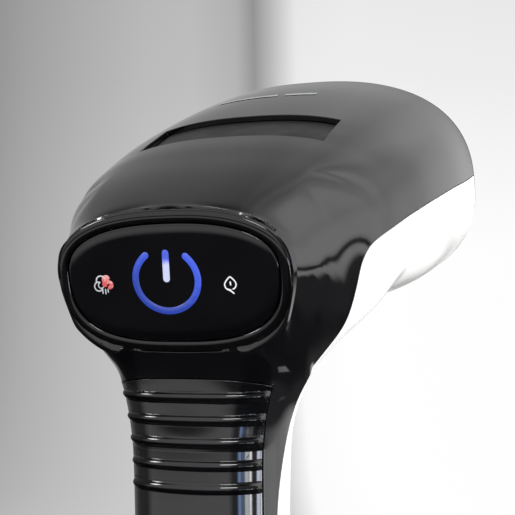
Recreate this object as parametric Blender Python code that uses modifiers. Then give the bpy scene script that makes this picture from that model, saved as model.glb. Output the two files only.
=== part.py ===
"""Handheld garment steamer: a drooping head with a touch panel at the back and a steam plate
at the front, a slim ribbed handle, and a water tank that forms the foot.

The appliance stands on its tank. +Z is up, +Y points the way the steam leaves, and X = 0 is the
plane of symmetry. The origin is the middle of the foot. Dimensions are millimetres; every mesh
is scaled to metres as it is made.
"""

import bpy
import bmesh
from math import cos, hypot, radians, sin, tau
from mathutils import Matrix, Vector

MM = 0.001

# Head: the axis runs from the panel centre up and forward to the steam plate.
PANEL_Y, PANEL_Z = -54.0, 200.0
TILT = radians(12.5)
HEAD_LENGTH = 127.0
HEAD_SECTIONS = (  # distance along the axis, half width, top, bottom
    (0, 31.0, 15.4, -20.2),
    (20, 41.0, 22.0, -22.0),
    (45, 48.5, 28.0, -25.0),
    (75, 52.5, 33.5, -29.0),
    (105, 54.5, 37.0, -33.5),
    (130, 55.0, 38.5, -35.5),
)
PANEL_OUTLINE = (31.0, 15.4, 20.2, 2.46, 2.8)  # half width, top, bottom, exponents
LENS_OUTLINE = (28.1, 12.1, 17.35, 2.4, 2.86)

# Handle: vertical, its sections widening into the boot that sits on the tank.
HANDLE_Y = -30.0
HANDLE_SECTIONS = (  # height, half width, depth to the rear, depth to the front, waist
    (155, 21.0, 16.5, 18.0, 0.0),
    (148, 20.7, 16.5, 17.7, 0.0),
    (140, 20.5, 16.5, 17.1, 0.0),
    (115, 20.3, 16.5, 16.5, 0.0),
    (98, 21.2, 17.2, 23.5, 1.0),
    (84, 24.5, 18.3, 40.0, 6.0),
    (72, 28.8, 19.5, 62.0, 14.0),
    (62, 32.0, 20.2, 76.0, 20.0),
    (53, 33.4, 20.6, 80.0, 24.0),
    (45, 34.0, 20.8, 81.0, 25.0),
)
BOOT_BOTTOM = 53.0

# Neck: sections fan round a line under the chin, from upright in the head to level in the handle.
PIVOT_Y, PIVOT_Z = PANEL_Y + 68.0, PANEL_Z - 45.0
FAN_END = 77.5
FAN_WIDTHS = ((20, 46.0), (34, 38.5), (42, 34.2), (50, 29.2), (57, 24.8), (65, 22.4), (72, 21.4))
NECK_PROFILE = ((180.3, 4.4), (176, 6.6), (168, 7.2), (155, 7.5))  # height, forward of the panel
EXP_HEAD, EXP_FAN, EXP_HANDLE = 2.45, 2.7, 2.35

WALL = 2.2
GAP = 0.3
SECTION_POINTS = 32

# Seam between the black rear shell and the white front shell, in side view (y, z).
SEAM = (
    (82.0, 233.9), (62.0, 229.4), (38.0, 224.9), (20.0, 221.0), (6.0, 217.7), (-6.0, 214.3),
    (-15.5, 211.1), (-22.5, 208.3), (-26.2, 205.6), (-27.4, 201.5), (-26.6, 197.5),
    (-25.0, 192.0), (-23.2, 186.5), (-22.6, 182.0), (-23.2, 177.0), (-24.6, 171.5),
    (-26.6, 164.5), (-29.6, 157.5), (-32.2, 151.0), (-34.2, 143.5), (-35.2, 134.0),
    (-35.4, 112.0), (-34.6, 92.0), (-32.5, 74.0), (-30.0, 44.0),
)
COVER_EDGE_Y = -39.5
COVER_BOTTOM, COVER_TOP = 82.0, 173.4
RIB_HEIGHTS = (168.5, 162.8, 157.2, 151.5, 145.8)
RIB_THICK, RIB_PROUD = 2.2, 0.9

# Pieces in the head, measured along the head axis.
BAR_START, BAR_END, BAR_HALF = 46.5, 66.5, 27.5
BAR_SUNK = 1.6
PLATE_BACK, PLATE_FRONT = 127.8, 132.3
STEAM_HOLE_RADIUS = 1.7
BOILER_START, BOILER_END = 62.0, 112.0

# Pieces in the handle, the boot and the tank.
TRIGGER_PIN = (-17.6, 147.0)
PUMP_Y = -27.0
LATCH_LOW, LATCH_HIGH = 57.0, 65.0
CORD_Z = 66.0
CAP_LOW, CAP_HIGH, CAP_HALF = 24.0, 42.0, 11.0


# ---------------------------------------------------------------- scene and materials

for leftover in list(bpy.data.objects):
    bpy.data.objects.remove(leftover, do_unlink=True)

steamer = bpy.data.collections.new("garment_steamer")
cutters = bpy.data.collections.new("cutters")
bpy.context.scene.collection.children.link(steamer)
bpy.context.scene.collection.children.link(cutters)
cutters.hide_render = True


def material(name, colour, roughness, metallic=0.0, transmission=0.0):
    made = bpy.data.materials.new(name)
    made.use_nodes = True
    shader = made.node_tree.nodes["Principled BSDF"]
    shader.inputs["Base Color"].default_value = (*colour, 1.0)
    shader.inputs["Roughness"].default_value = roughness
    shader.inputs["Metallic"].default_value = metallic
    shader.inputs["Transmission Weight"].default_value = transmission
    return made


BLACK_GLOSS = material("black_gloss", (0.012, 0.012, 0.013), 0.08)
BLACK_SATIN = material("black_satin", (0.015, 0.015, 0.016), 0.35)
WHITE_GLOSS = material("white_gloss", (0.85, 0.85, 0.84), 0.12)
LENS_BLACK = material("lens_black", (0.006, 0.006, 0.008), 0.05)
CLEAR = material("clear_plastic", (0.75, 0.82, 0.95), 0.2, 0.0, 0.7)
SMOKE = material("smoked_plastic", (0.18, 0.19, 0.21), 0.06, 0.0, 0.8)
GREY = material("grey_plastic", (0.32, 0.33, 0.34), 0.45)
RUBBER = material("black_rubber", (0.02, 0.02, 0.02), 0.8)
SILICONE = material("red_silicone", (0.45, 0.09, 0.05), 0.55)
ALUMINIUM = material("cast_aluminium", (0.72, 0.73, 0.74), 0.35, 1.0)
STEEL = material("steel", (0.55, 0.56, 0.58), 0.25, 1.0)
BRASS = material("brass", (0.72, 0.52, 0.22), 0.3, 1.0)
BOARD = material("board_green", (0.02, 0.13, 0.06), 0.5)
CERAMIC = material("ceramic", (0.86, 0.84, 0.78), 0.4)


# ---------------------------------------------------------------- meshes and Booleans


def link_mesh(name, bm, surface, smooth=True, collection=None):
    """Make an object in metres from a bmesh in millimetres, with its faces turned outwards."""
    bm.normal_update()
    bmesh.ops.recalc_face_normals(bm, faces=bm.faces)
    bmesh.ops.scale(bm, vec=(MM, MM, MM), verts=bm.verts)
    mesh = bpy.data.meshes.new(name)
    bm.to_mesh(mesh)
    bm.free()
    obj = bpy.data.objects.new(name, mesh)
    (collection or steamer).objects.link(obj)
    if surface:
        mesh.materials.append(surface)
    if smooth:
        mesh.shade_smooth()
        mesh.set_sharp_from_angle(angle=radians(35))
    return obj


def cutter_of(obj):
    obj.hide_render = True
    obj.display_type = "WIRE"
    return obj


def loft(name, rings, surface, ends="cap", smooth=True, collection=None):
    """Skin a row of rings with equal point counts; ends are capped, left open or joined up."""
    bm = bmesh.new()
    rows = [[bm.verts.new(point) for point in ring] for ring in rings]
    pairs = list(zip(rows, rows[1:]))
    if ends == "join":
        pairs.append((rows[-1], rows[0]))
    for near, far in pairs:
        for i in range(len(near)):
            bm.faces.new((near[i - 1], near[i], far[i], far[i - 1]))
    if ends == "cap":
        bm.faces.new(rows[0])
        bm.faces.new(rows[-1])
    return link_mesh(name, bm, surface, smooth, collection)


def box(name, low, high, surface=None, bevel=0.0, at=None, collection=None):
    """A block between two corners, bevelled if asked, put in place by the function `at`."""
    bm = bmesh.new()
    bmesh.ops.create_cube(bm, size=1.0)
    for vert in bm.verts:
        vert.co = Vector([low[k] if vert.co[k] < 0 else high[k] for k in range(3)])
    if bevel:
        bmesh.ops.bevel(bm, geom=bm.edges, offset=bevel, segments=1, profile=0.5, affect="EDGES")
    if at:
        for vert in bm.verts:
            vert.co = at(*vert.co)
    return link_mesh(name, bm, surface, False, collection)


def prism(name, outline, half, collection=None):
    """A side-view outline of (y, z) points made a solid from x = -half to x = half."""
    bm = bmesh.new()
    near = [bm.verts.new((-half, y, z)) for y, z in outline]
    far = [bm.verts.new((half, y, z)) for y, z in outline]
    for i in range(len(near)):
        bm.faces.new((near[i - 1], near[i], far[i], far[i - 1]))
    bm.faces.new(near)
    bm.faces.new(far)
    return cutter_of(link_mesh(name, bm, None, False, collection or cutters))


def turned(name, profile, surface, at, sides=16, ends="cap", collection=None):
    """Turn (radius, height) points round the local axis of the function `at`."""
    turns = [tau * i / sides for i in range(sides)]
    rings = [[at(r * cos(a), r * sin(a), h) for a in turns] for r, h in profile]
    return loft(name, rings, surface, ends, True, collection)


def tube(name, points, radius, surface, resolution=2, steps=5):
    """A round rod or hose along smooth points."""
    curve = bpy.data.curves.new(name, "CURVE")
    curve.dimensions = "3D"
    curve.bevel_depth = radius * MM
    curve.bevel_resolution = resolution
    curve.resolution_u = steps
    curve.use_fill_caps = True
    spline = curve.splines.new("BEZIER")
    spline.bezier_points.add(len(points) - 1)
    for knot, point in zip(spline.bezier_points, points):
        knot.co = Vector(point) * MM
        knot.handle_left_type = "AUTO"
        knot.handle_right_type = "AUTO"
    obj = bpy.data.objects.new(name, curve)
    steamer.objects.link(obj)
    curve.materials.append(surface)
    return obj


def coil(name, at, radius, low, high, turns, wire, surface, per_turn=10):
    """A compression spring standing on the local axis of the function `at`."""
    points = []
    for i in range(int(turns * per_turn) + 1):
        a = tau * i / per_turn
        points.append(at(radius * cos(a), radius * sin(a), low + (high - low) * i / (turns * per_turn)))
    curve = bpy.data.curves.new(name, "CURVE")
    curve.dimensions = "3D"
    curve.bevel_depth = wire * MM
    curve.bevel_resolution = 1
    curve.use_fill_caps = True
    spline = curve.splines.new("POLY")
    spline.points.add(len(points) - 1)
    for knot, point in zip(spline.points, points):
        knot.co = (*(Vector(point) * MM), 1.0)
    obj = bpy.data.objects.new(name, curve)
    steamer.objects.link(obj)
    curve.materials.append(surface)
    return obj


def boolean(obj, operand, operation):
    step = obj.modifiers.new(operation.lower() + "_" + operand.name, "BOOLEAN")
    step.operation = operation
    step.solver = "EXACT"
    step.object = operand


def hollow(obj, thickness):
    step = obj.modifiers.new("wall", "SOLIDIFY")
    step.thickness = thickness * MM
    step.offset = -1.0
    step.use_even_offset = True


def origin_to(obj, point):
    """Put the object's origin on its joint without moving its shape."""
    shift = Vector(point) * MM
    obj.data.transform(Matrix.Translation(-shift))
    obj.location = shift


# ---------------------------------------------------------------- sections of the body


def head_at(x, n, s):
    """World point from x, the distance n above the head axis and the distance s along it."""
    return (
        x,
        PANEL_Y + s * cos(TILT) - n * sin(TILT),
        PANEL_Z + s * sin(TILT) + n * cos(TILT),
    )


def upright(x0, y0):
    """A function that stands a turned piece on a vertical axis through (x0, y0)."""
    return lambda x, y, h: (x0 + x, y0 + y, h)


def superellipse(half, top, bottom, exp_top, exp_bottom, points=SECTION_POINTS):
    """Outline points (x, u) that are full at the corners and flat at the sides."""
    outline = []
    for i in range(points):
        c, s = cos(tau * i / points), sin(tau * i / points)
        c, s = (0.0 if abs(v) < 1e-9 else v for v in (c, s))
        e = 2.0 / (exp_top if s >= 0 else exp_bottom)
        height = top if s >= 0 else bottom
        x = half * abs(c) ** e * (1 if c >= 0 else -1)
        outline.append((x, height * abs(s) ** e * (1 if s >= 0 else -1)))
    return outline


def smooth_table(table, at):
    """Read a table of (station, values...) with a monotone cubic between its rows."""
    rows = sorted(table)
    at = min(max(at, rows[0][0]), rows[-1][0])
    i = min(max(sum(row[0] < at for row in rows) - 1, 0), len(rows) - 2)
    values = []
    for k in range(1, len(rows[0])):
        steps = [b[0] - a[0] for a, b in zip(rows, rows[1:])]
        slopes = [(b[k] - a[k]) / h for a, b, h in zip(rows, rows[1:], steps)]
        tangents = [slopes[0]]
        for left, right, h0, h1 in zip(slopes, slopes[1:], steps, steps[1:]):
            same_way = left * right > 0
            tangent = 3 * (h0 + h1) / ((2 * h1 + h0) / left + (h1 + 2 * h0) / right) if same_way else 0.0
            tangents.append(tangent)
        tangents.append(slopes[-1])
        h = steps[i]
        t = (at - rows[i][0]) / h
        value = (2 * t**3 - 3 * t * t + 1) * rows[i][k] + (t**3 - 2 * t * t + t) * h * tangents[i]
        value += (3 * t * t - 2 * t**3) * rows[i + 1][k] + (t**3 - t * t) * h * tangents[i + 1]
        values.append(value)
    return values


AXIS = Vector((cos(TILT), sin(TILT)))
ABOVE = Vector((-sin(TILT), cos(TILT)))
PANEL = Vector((PANEL_Y, PANEL_Z))
PIVOT = Vector((PIVOT_Y, PIVOT_Z))
PIVOT_S = (PIVOT - PANEL).dot(AXIS)
PIVOT_N = (PIVOT - PANEL).dot(ABOVE)


def reach(inside):
    """The distance from the pivot at which `inside` stops being true."""
    low, high = 0.0, 200.0
    for _ in range(40):
        middle = (low + high) / 2
        low, high = (middle, high) if inside(middle) else (low, middle)
    return low


def neck_section(angle):
    """Inner radius, outer radius, half width and exponent of the fan at an angle in degrees."""
    turn = radians(angle)
    ray = ABOVE * cos(turn) - AXIS * sin(turn)
    head_half, _, head_bottom = smooth_table(HEAD_SECTIONS, PIVOT_S)
    hand_half, _, hand_front, _ = smooth_table(HANDLE_SECTIONS, PIVOT_Z)
    blend = angle / FAN_END
    blend = blend * blend * (3 - 2 * blend)
    inner = (head_bottom - PIVOT_N) * (1 - blend) + (PIVOT_Y - HANDLE_Y - hand_front) * blend
    widths = ((0, head_half), *FAN_WIDTHS, (FAN_END, hand_half))
    half = smooth_table(widths, angle)[0]
    if angle < 56:
        exponent = EXP_HEAD + (EXP_FAN - EXP_HEAD) * min(1.0, angle / 30)
    else:
        exponent = EXP_FAN + (EXP_HANDLE - EXP_FAN) * (angle - 56) / (FAN_END - 56)
    to_panel = PIVOT_S / sin(turn) if angle > 0 else 1e9
    above = PIVOT_N + to_panel * cos(turn)
    panel_half, panel_top, panel_bottom, exp_top, exp_bottom = PANEL_OUTLINE
    if above > panel_top:

        def under_the_roof(r):
            s, n = PIVOT_S - r * sin(turn), PIVOT_N + r * cos(turn)
            return n < smooth_table(HEAD_SECTIONS, max(s, 0.0))[1]

        outer = reach(under_the_roof)
    elif above > -panel_bottom:
        height, power = (panel_top, exp_top) if above >= 0 else (panel_bottom, exp_bottom)
        across = panel_half * (1 - min(1.0, abs(above) / height) ** power) ** (1 / power)
        drop = (1 - min(1.0, across / half) ** exponent) ** (1 / exponent)
        outer = (2 * to_panel - (1 - drop) * inner) / (1 + drop)
    else:

        def ahead_of_the_nape(r):
            point = PIVOT + ray * r
            return point.x > PANEL_Y + smooth_table(NECK_PROFILE, point.y)[0]

        outer = reach(ahead_of_the_nape)
    return ray, inner, outer, half, exponent


def head_ring(s, off=0.0):
    """An upright section of the head, straight on past its last station."""
    half, top, bottom = smooth_table(HEAD_SECTIONS, s)
    outline = superellipse(half + off, top + off, off - bottom, EXP_HEAD, EXP_HEAD)
    return [head_at(x, n, s) for x, n in outline]


def neck_ring(angle, off=0.0):
    ray, inner, outer, half, exponent = neck_section(angle)
    middle = (inner + outer) / 2
    outline = superellipse(half + off, outer - middle + off, middle - inner + off, exponent, exponent)
    return [(x, *(PIVOT + ray * (middle + u))) for x, u in outline]


def handle_ring(z, off=0.0, level=None):
    """A level section of the handle; `level` sets it at another height than its size."""
    half, rear, front, waist = smooth_table(HANDLE_SECTIONS, z)
    outline = superellipse(half + off, rear + waist + off, front - waist + off, EXP_HANDLE, EXP_HANDLE)
    height = z if level is None else level
    return [(x, HANDLE_Y + waist - u, height) for x, u in outline]


HEAD_STATIONS = (134, 126, 114, 100, 86, 72, 62)
NECK_STATIONS = (0, 8, 16, 24, 31, 36, 40, 44, 48, 52, 56, 60, 65, 71)
HANDLE_STATIONS = (155, 148, 140, 122, 104, 96, 89, 83, 77, 71, 65, 59, 53, 46)


def body_surface(name, off=0.0, surface=None, collection=None):
    """The outer skin of the whole body as one open tube, front rim to the foot of the boot."""
    rings = [head_ring(s, off) for s in HEAD_STATIONS]
    rings += [neck_ring(angle, off) for angle in NECK_STATIONS]
    rings += [handle_ring(z, off) for z in HANDLE_STATIONS]
    return loft(name, rings, surface, "open", True, collection)


def shifted(line, distance):
    """Move a side-view line sideways, to its left as it runs."""
    moved = []
    for i, (y, z) in enumerate(line):
        y0, z0 = line[max(i - 1, 0)]
        y1, z1 = line[min(i + 1, len(line) - 1)]
        length = hypot(y1 - y0, z1 - z0)
        moved.append((y - (z1 - z0) / length * distance, z + (y1 - y0) / length * distance))
    return moved


def head_box(name, x, n, s, surface=None, bevel=0.0, collection=None):
    low, high = zip(x, n, s)
    return box(name, low, high, surface, bevel, head_at, collection)


def window(name, low, high, at=None):
    return cutter_of(box(name, low, high, None, 0.0, at, cutters))


# ---------------------------------------------------------------- shells


def seam_prism(name, shift):
    """Everything forward of the seam: what the front shell keeps and the rear shell gives up."""
    line = shifted(SEAM, shift)
    around = [(line[-1][0], 20.0), (140.0, 20.0), (140.0, line[0][1] + 12.0)]
    ahead = (line[0][0] + 53.0, line[0][1] + 12.0)
    return prism(name, line + around[:2] + [ahead], 90.0)


def end_trim():
    """Blocks that cut the skin off at the panel, at the front rim and at the foot of the boot."""
    bm = bmesh.new()
    blocks = (
        (head_at, (-80, -20.5, -60), (80, 60, 2.05)),
        (head_at, (-80, -80, HEAD_LENGTH), (80, 80, HEAD_LENGTH + 40)),
        (None, (-80, -90, 10), (80, 120, BOOT_BOTTOM + GAP)),
    )
    for at, low, high in blocks:
        corners = bmesh.ops.create_cube(bm, size=1.0)["verts"]
        for vert in corners:
            point = [low[k] if vert.co[k] < 0 else high[k] for k in range(3)]
            vert.co = at(*point) if at else point
    return cutter_of(link_mesh("end_trim", bm, None, False, cutters))


def rib_band():
    """The five grip ribs as one slightly larger skin cut to level bands."""
    skin = cutter_of(body_surface("rib_skin", RIB_PROUD, None, cutters))
    hollow(skin, RIB_PROUD + 1.2)
    bm = bmesh.new()
    for z in RIB_HEIGHTS:
        corners = bmesh.ops.create_cube(bm, size=1.0)["verts"]
        for vert in corners:
            low, high = (-40, -80, z - RIB_THICK / 2), (40, COVER_EDGE_Y - 1.0, z + RIB_THICK / 2)
            vert.co = [low[k] if vert.co[k] < 0 else high[k] for k in range(3)]
    bands = cutter_of(link_mesh("rib_bands", bm, None, False, cutters))
    boolean(skin, bands, "INTERSECT")
    return skin


def make_shells():
    trim = end_trim()
    bar_window = cutter_of(
        head_box("bar_window", (-BAR_HALF, BAR_HALF), (16, 60), (BAR_START, BAR_END), None, 0, cutters)
    )
    cord_hole = cutter_of(
        turned("cord_hole", [(6.4, 30), (6.4, 70)], None, lambda x, y, h: (x, -h, CORD_Z + y), 16, "cap", cutters)
    )

    rear = body_surface("rear_shell", 0.0, BLACK_GLOSS)
    hollow(rear, WALL)
    boolean(rear, trim, "DIFFERENCE")
    boolean(rear, seam_prism("seam_rear", -GAP / 2), "DIFFERENCE")
    cover_low, cover_high = (-40, -90, COVER_BOTTOM), (40, COVER_EDGE_Y, COVER_TOP)
    boolean(rear, window("cover_window", cover_low, cover_high), "DIFFERENCE")
    boolean(rear, bar_window, "DIFFERENCE")
    boolean(rear, cord_hole, "DIFFERENCE")

    front = body_surface("front_shell", 0.0, WHITE_GLOSS)
    hollow(front, WALL)
    boolean(front, trim, "DIFFERENCE")
    boolean(front, seam_prism("seam_front", GAP / 2), "INTERSECT")
    boolean(front, window("trigger_window", (-8.4, -22, 105.5), (8.4, 10, 152.5)), "DIFFERENCE")
    latch_low, latch_high = (-7.4, 20, LATCH_LOW - 0.4), (7.4, 80, LATCH_HIGH + 0.4)
    boolean(front, window("latch_window", latch_low, latch_high), "DIFFERENCE")

    cover = body_surface("grip_cover", 0.0, BLACK_GLOSS)
    hollow(cover, WALL)
    inner_low = (-38, -88, COVER_BOTTOM + GAP)
    inner_high = (38, COVER_EDGE_Y - GAP, COVER_TOP - GAP)
    boolean(cover, window("cover_block", inner_low, inner_high), "INTERSECT")
    boolean(cover, rib_band(), "UNION")
    screw_hole = turned(
        "screw_hole", [(2.6, 30), (2.6, 70)], None, lambda x, y, h: (x, -h, 90 + y), 12, "cap", cutters
    )
    boolean(cover, cutter_of(screw_hole), "DIFFERENCE")


def make_collar():
    """The dark ring that closes the front rim round the steam plate."""
    half, top, bottom = smooth_table(HEAD_SECTIONS, HEAD_LENGTH)
    path = ((-0.2, 127.3), (-0.3, 129.8), (-1.2, 131.0), (-4.6, 131.0), (-5.2, 130.2), (-5.2, 127.3))
    rings = []
    for off, s in path:
        outline = superellipse(half + off, top + off, off - bottom, EXP_HEAD, EXP_HEAD, 40)
        rings.append([head_at(x, n, s) for x, n in outline])
    loft("front_collar", rings, BLACK_SATIN, "join")


# ---------------------------------------------------------------- control panel


def panel_ring(outline, off, s, points=40):
    half, top, bottom, exp_top, exp_bottom = outline
    edge = superellipse(half + off, top + off, bottom + off, exp_top, exp_bottom, points)
    return [head_at(x, n, s) for x, n in edge]


def make_panel():
    outer = ((-0.9, -0.5), (-0.25, -0.3), (0.0, 0.2), (0.0, 1.7))
    inner = ((0.25, 1.7), (0.25, -0.2), (0.6, -0.5))
    rings = [panel_ring(PANEL_OUTLINE, off, s) for off, s in outer]
    rings += [panel_ring(LENS_OUTLINE, off, s) for off, s in inner]
    loft("panel_bezel", rings, BLACK_SATIN, "join")

    lens = ((-0.5, -0.35), (-0.1, -0.2), (0.0, 0.1), (0.0, 1.6))
    loft("touch_lens", [panel_ring(LENS_OUTLINE, off, s) for off, s in lens], LENS_BLACK)

    board = [panel_ring(LENS_OUTLINE, -2.0, s, 24) for s in (6.0, 7.6)]
    loft("touch_board", board, BOARD, "cap", False)

    arc = [radians(a) for a in range(125, 416, 15)]
    ring = tube(
        "power_guide", [head_at(-1 + 7.8 * cos(a), -2 + 7.8 * sin(a), 2.9) for a in arc], 0.85, CLEAR, 1, 2
    )
    ring.data.bevel_resolution = 1
    head_box("power_bar_guide", (-1.9, -0.1), (-4.2, 5.6), (2.1, 3.8), CLEAR, 0.3)
    for name, x in (("steam_guide", -16.5), ("dry_guide", 14.5)):
        at = lambda a, b, h, x0=x: head_at(x0 + a, b - 3.3, h)
        turned(name, [(2.6, 2.1), (2.6, 4.0)], CLEAR, at, 12)
    for name, x, n in (("power_lamp", -1, -1), ("steam_lamp", -16.5, -3.3), ("dry_lamp", 14.5, -3.3)):
        head_box(name, (x - 1.4, x + 1.4), (n - 1.1, n + 1.1), (4.5, 5.7), CERAMIC)


# ---------------------------------------------------------------- head: steam plate and boiler


def front_ring(off, s, points=36):
    half, top, bottom = smooth_table(HEAD_SECTIONS, HEAD_LENGTH)
    outline = superellipse(half + off, top + off, off - bottom, EXP_HEAD, EXP_HEAD, points)
    return [head_at(x, n, s) for x, n in outline]


def make_steam_plate():
    """A flat aluminium plate with an arch of steam holes, its edge rounded towards the cloth."""
    edge = ((-5.7, PLATE_BACK), (-5.7, PLATE_FRONT - 1.2), (-6.9, PLATE_FRONT))
    plate = loft("steam_plate", [front_ring(off, s) for off, s in edge], ALUMINIUM)
    bm = bmesh.new()
    arch = [radians(a) for a in (0, 30, 60, 90, 120, 150, 180)]
    places = [(34 * cos(a), 2 + 20 * sin(a)) for a in arch]
    places += [(-24, -13), (-8, -17), (8, -17), (24, -13)]
    for x, n in places:
        made = bmesh.ops.create_cone(
            bm, cap_ends=True, segments=10, radius1=STEAM_HOLE_RADIUS, radius2=STEAM_HOLE_RADIUS, depth=20
        )
        for vert in made["verts"]:
            vert.co = head_at(vert.co.x + x, vert.co.y + n, PLATE_FRONT + vert.co.z)
    boolean(plate, cutter_of(link_mesh("steam_holes", bm, None, False, cutters)), "DIFFERENCE")

    seal = ((-6.2, 127.5), (-6.2, 124.5), (-9.8, 124.5), (-9.8, 127.5))
    loft("plate_gasket", [front_ring(off, s) for off, s in seal], SILICONE, "join")

    cup = ((-22, 118.0), (-12, 118.6), (-10.4, 120.0), (-10.4, 127.5), (-12.2, 127.5))
    cup += ((-12.2, 121.4), (-24, 120.4))
    loft("steam_chamber", [front_ring(off, s, 28) for off, s in cup], ALUMINIUM)
    turned("steam_pipe", [(4.0, 112.4), (4.0, 117.7)], STEEL, head_at, 14)


def make_boiler():
    span = (BOILER_START, BOILER_END)
    head_box("boiler", (-30, 30), (-12, 12), span, ALUMINIUM, 3.0)
    lid_span = (BOILER_START + 2, BOILER_END - 2)
    head_box("boiler_lid", (-28, 28), (12.3, 14.3), lid_span, STEEL, 0.5)
    u_turn = [(-20, 57), (-20, 80), (-20, 98), (-13, 106), (0, 108), (13, 106), (20, 98), (20, 80), (20, 57)]
    tube("heating_element", [head_at(x, -15.2, s) for x, s in u_turn], 2.6, STEEL, 2, 4)
    on_lid = lambda x, y, h: head_at(x - 11, 14.6 + h, y + 92)
    turned("thermostat", [(8, 0), (8, 3.4), (6.4, 3.6), (6.4, 5.2)], CERAMIC, on_lid, 18)
    across = lambda x, y, h: head_at(h, 17.2 + x, y + 72)
    turned("thermal_fuse", [(0.7, -14), (0.7, -8.5), (2.1, -8), (2.1, 8), (0.7, 8.5), (0.7, 14)], CERAMIC, across, 10)
    head_box("boiler_saddle", (-24, 24), (-21.4, -19.4), (60, 108), GREY, 0.5)


def make_release_bar():
    """The bar sunk in the roof of the head; it is pushed down to free the brush attachment."""
    bar = body_surface("release_bar", -BAR_SUNK, BLACK_SATIN)
    hollow(bar, 2.6)
    block = head_box(
        "bar_block",
        (GAP - BAR_HALF, BAR_HALF - GAP),
        (16, 60),
        (BAR_START + GAP, BAR_END - GAP),
        None,
        0,
        cutters,
    )
    boolean(bar, cutter_of(block), "INTERSECT")
    origin_to(bar, head_at(0, 28.5, 56.5))
    head_box("bar_carrier", (-22, 22), (16.0, 17.8), (47.0, 66.0), GREY, 0.4)
    at = lambda x, y, h: head_at(x, h, 56.5 + y)
    coil("release_spring", at, 3.4, 18.4, 25.2, 4, 0.35, STEEL)


# ---------------------------------------------------------------- handle


def make_trigger():
    y, z = TRIGGER_PIN
    trigger = body_surface("steam_trigger", 2.2, BLACK_SATIN)
    hollow(trigger, 10.5)
    boolean(trigger, window("trigger_block", (-8, -24, 107), (8, 10, 151)), "INTERSECT")
    boolean(trigger, window("trigger_relief", (-9, -40, 100), (9, -16.2, 141)), "DIFFERENCE")
    along = lambda a, b, h: (h, y + a, z + b)
    bore = turned("trigger_bore", [(1.5, -20), (1.5, 20)], None, along, 12, "cap", cutters)
    boolean(trigger, cutter_of(bore), "DIFFERENCE")
    origin_to(trigger, (0, y, z))
    turned("trigger_pin", [(1.25, -9.8), (1.25, 9.8)], STEEL, along, 12)
    box("trigger_rest", (-16, -30, 132.4), (4.6, -28.4, 139.6), GREY, 0.3)
    behind = lambda a, b, h: (a, h, 136 + b)
    coil("trigger_spring", behind, 2.6, -27.9, -16.9, 5, 0.3, STEEL)
    box("microswitch", (-7.2, -29, 120), (-0.4, -22.6, 131.6), BLACK_SATIN, 0.4)


def make_handle_parts():
    box("handle_frame", (-12, -41, 84), (12, -39.4, 162), GREY, 0.3)
    box("main_board", (-11, -38.2, 102), (11, -36.6, 152), BOARD)
    box("relay", (-10, -36.3, 130), (-1, -31.2, 144), BLACK_SATIN, 0.4)
    at = upright(0, PUMP_Y)
    body = [(3.2, 62.6), (3.2, 67), (9.4, 67), (10, 68), (10, 91), (9.4, 92), (3.4, 92), (3.4, 97)]
    turned("pump", body, GREY, at, 20)
    clamp = [(10.3, 76), (12.2, 76), (12.2, 82), (10.3, 82)]
    turned("pump_clamp", clamp, BLACK_SATIN, at, 20, "join")
    turned("check_valve", [(2.8, 97.3), (4.4, 98), (4.4, 104), (2.8, 105)], BRASS, at, 14)
    route = [
        (0, PUMP_Y, 105.7), (0.3, -27, 109), (4, -28.5, 116), (8.5, -30, 126), (8.5, -30.5, 150),
        (7, -31, 168), (5, -28, 184), (3, -16, 197), (0, 2, 206.5),
    ]
    tube("water_hose", route, 2.3, SILICONE, 1, 3)
    at_rear = lambda x, y, h: (x, -h, 90 + y)
    turned("cover_screw", [(2.3, 41.4), (2.3, 45.6), (1.2, 46.1)], STEEL, at_rear, 12)


# ---------------------------------------------------------------- boot


def make_boot_parts():
    rings = [handle_ring(53, -9.0, 53.6), handle_ring(53, -9.0, 56.4)]
    dock = loft("tank_dock", rings, GREY, "cap", False)
    at = upright(0, PUMP_Y)
    hole = turned("dock_hole", [(9.3, 40), (9.3, 70)], None, at, 20, "cap", cutters)
    boolean(dock, cutter_of(hole), "DIFFERENCE")
    socket = [(6.4, 53.6), (9.0, 53.6), (9.0, 62.2), (4.0, 62.2), (4.0, 60.2), (6.4, 60.2)]
    turned("dock_socket", socket, BRASS, at, 20, "join")
    turned("dock_seal", [(3.4, 57.6), (6.1, 57.6), (6.1, 59.9), (3.4, 59.9)], SILICONE, at, 18, "join")

    latch = body_surface("tank_latch", 0.9, BLACK_SATIN)
    hollow(latch, 5.0)
    block = window("latch_block", (-7, 20, LATCH_LOW), (7, 80, LATCH_HIGH))
    boolean(latch, block, "INTERSECT")
    origin_to(latch, (0, 44, 61))
    at_latch = lambda x, y, h: (x, h, 61.2 + y)
    coil("latch_spring", at_latch, 2.6, 30.3, 37.0, 4, 0.3, STEEL)
    box("latch_rest", (-5, 28, 57), (5, 29.8, 66), GREY, 0.3)

    gland = [(3.3, 44.6), (8.2, 44.6), (8.2, 46.4), (6.0, 46.4), (6.0, 53.0), (5.2, 54.0), (3.3, 54.0)]
    turned("cord_gland", gland, RUBBER, lambda x, y, h: (x, -h, CORD_Z + y), 20, "join")


# ---------------------------------------------------------------- water tank

TANK_OUTSIDE = ((1.8, -6.0), (3.0, -3.6), (7.0, -1.8), (24.0, -0.8), (BOOT_BOTTOM, -0.3))


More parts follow.
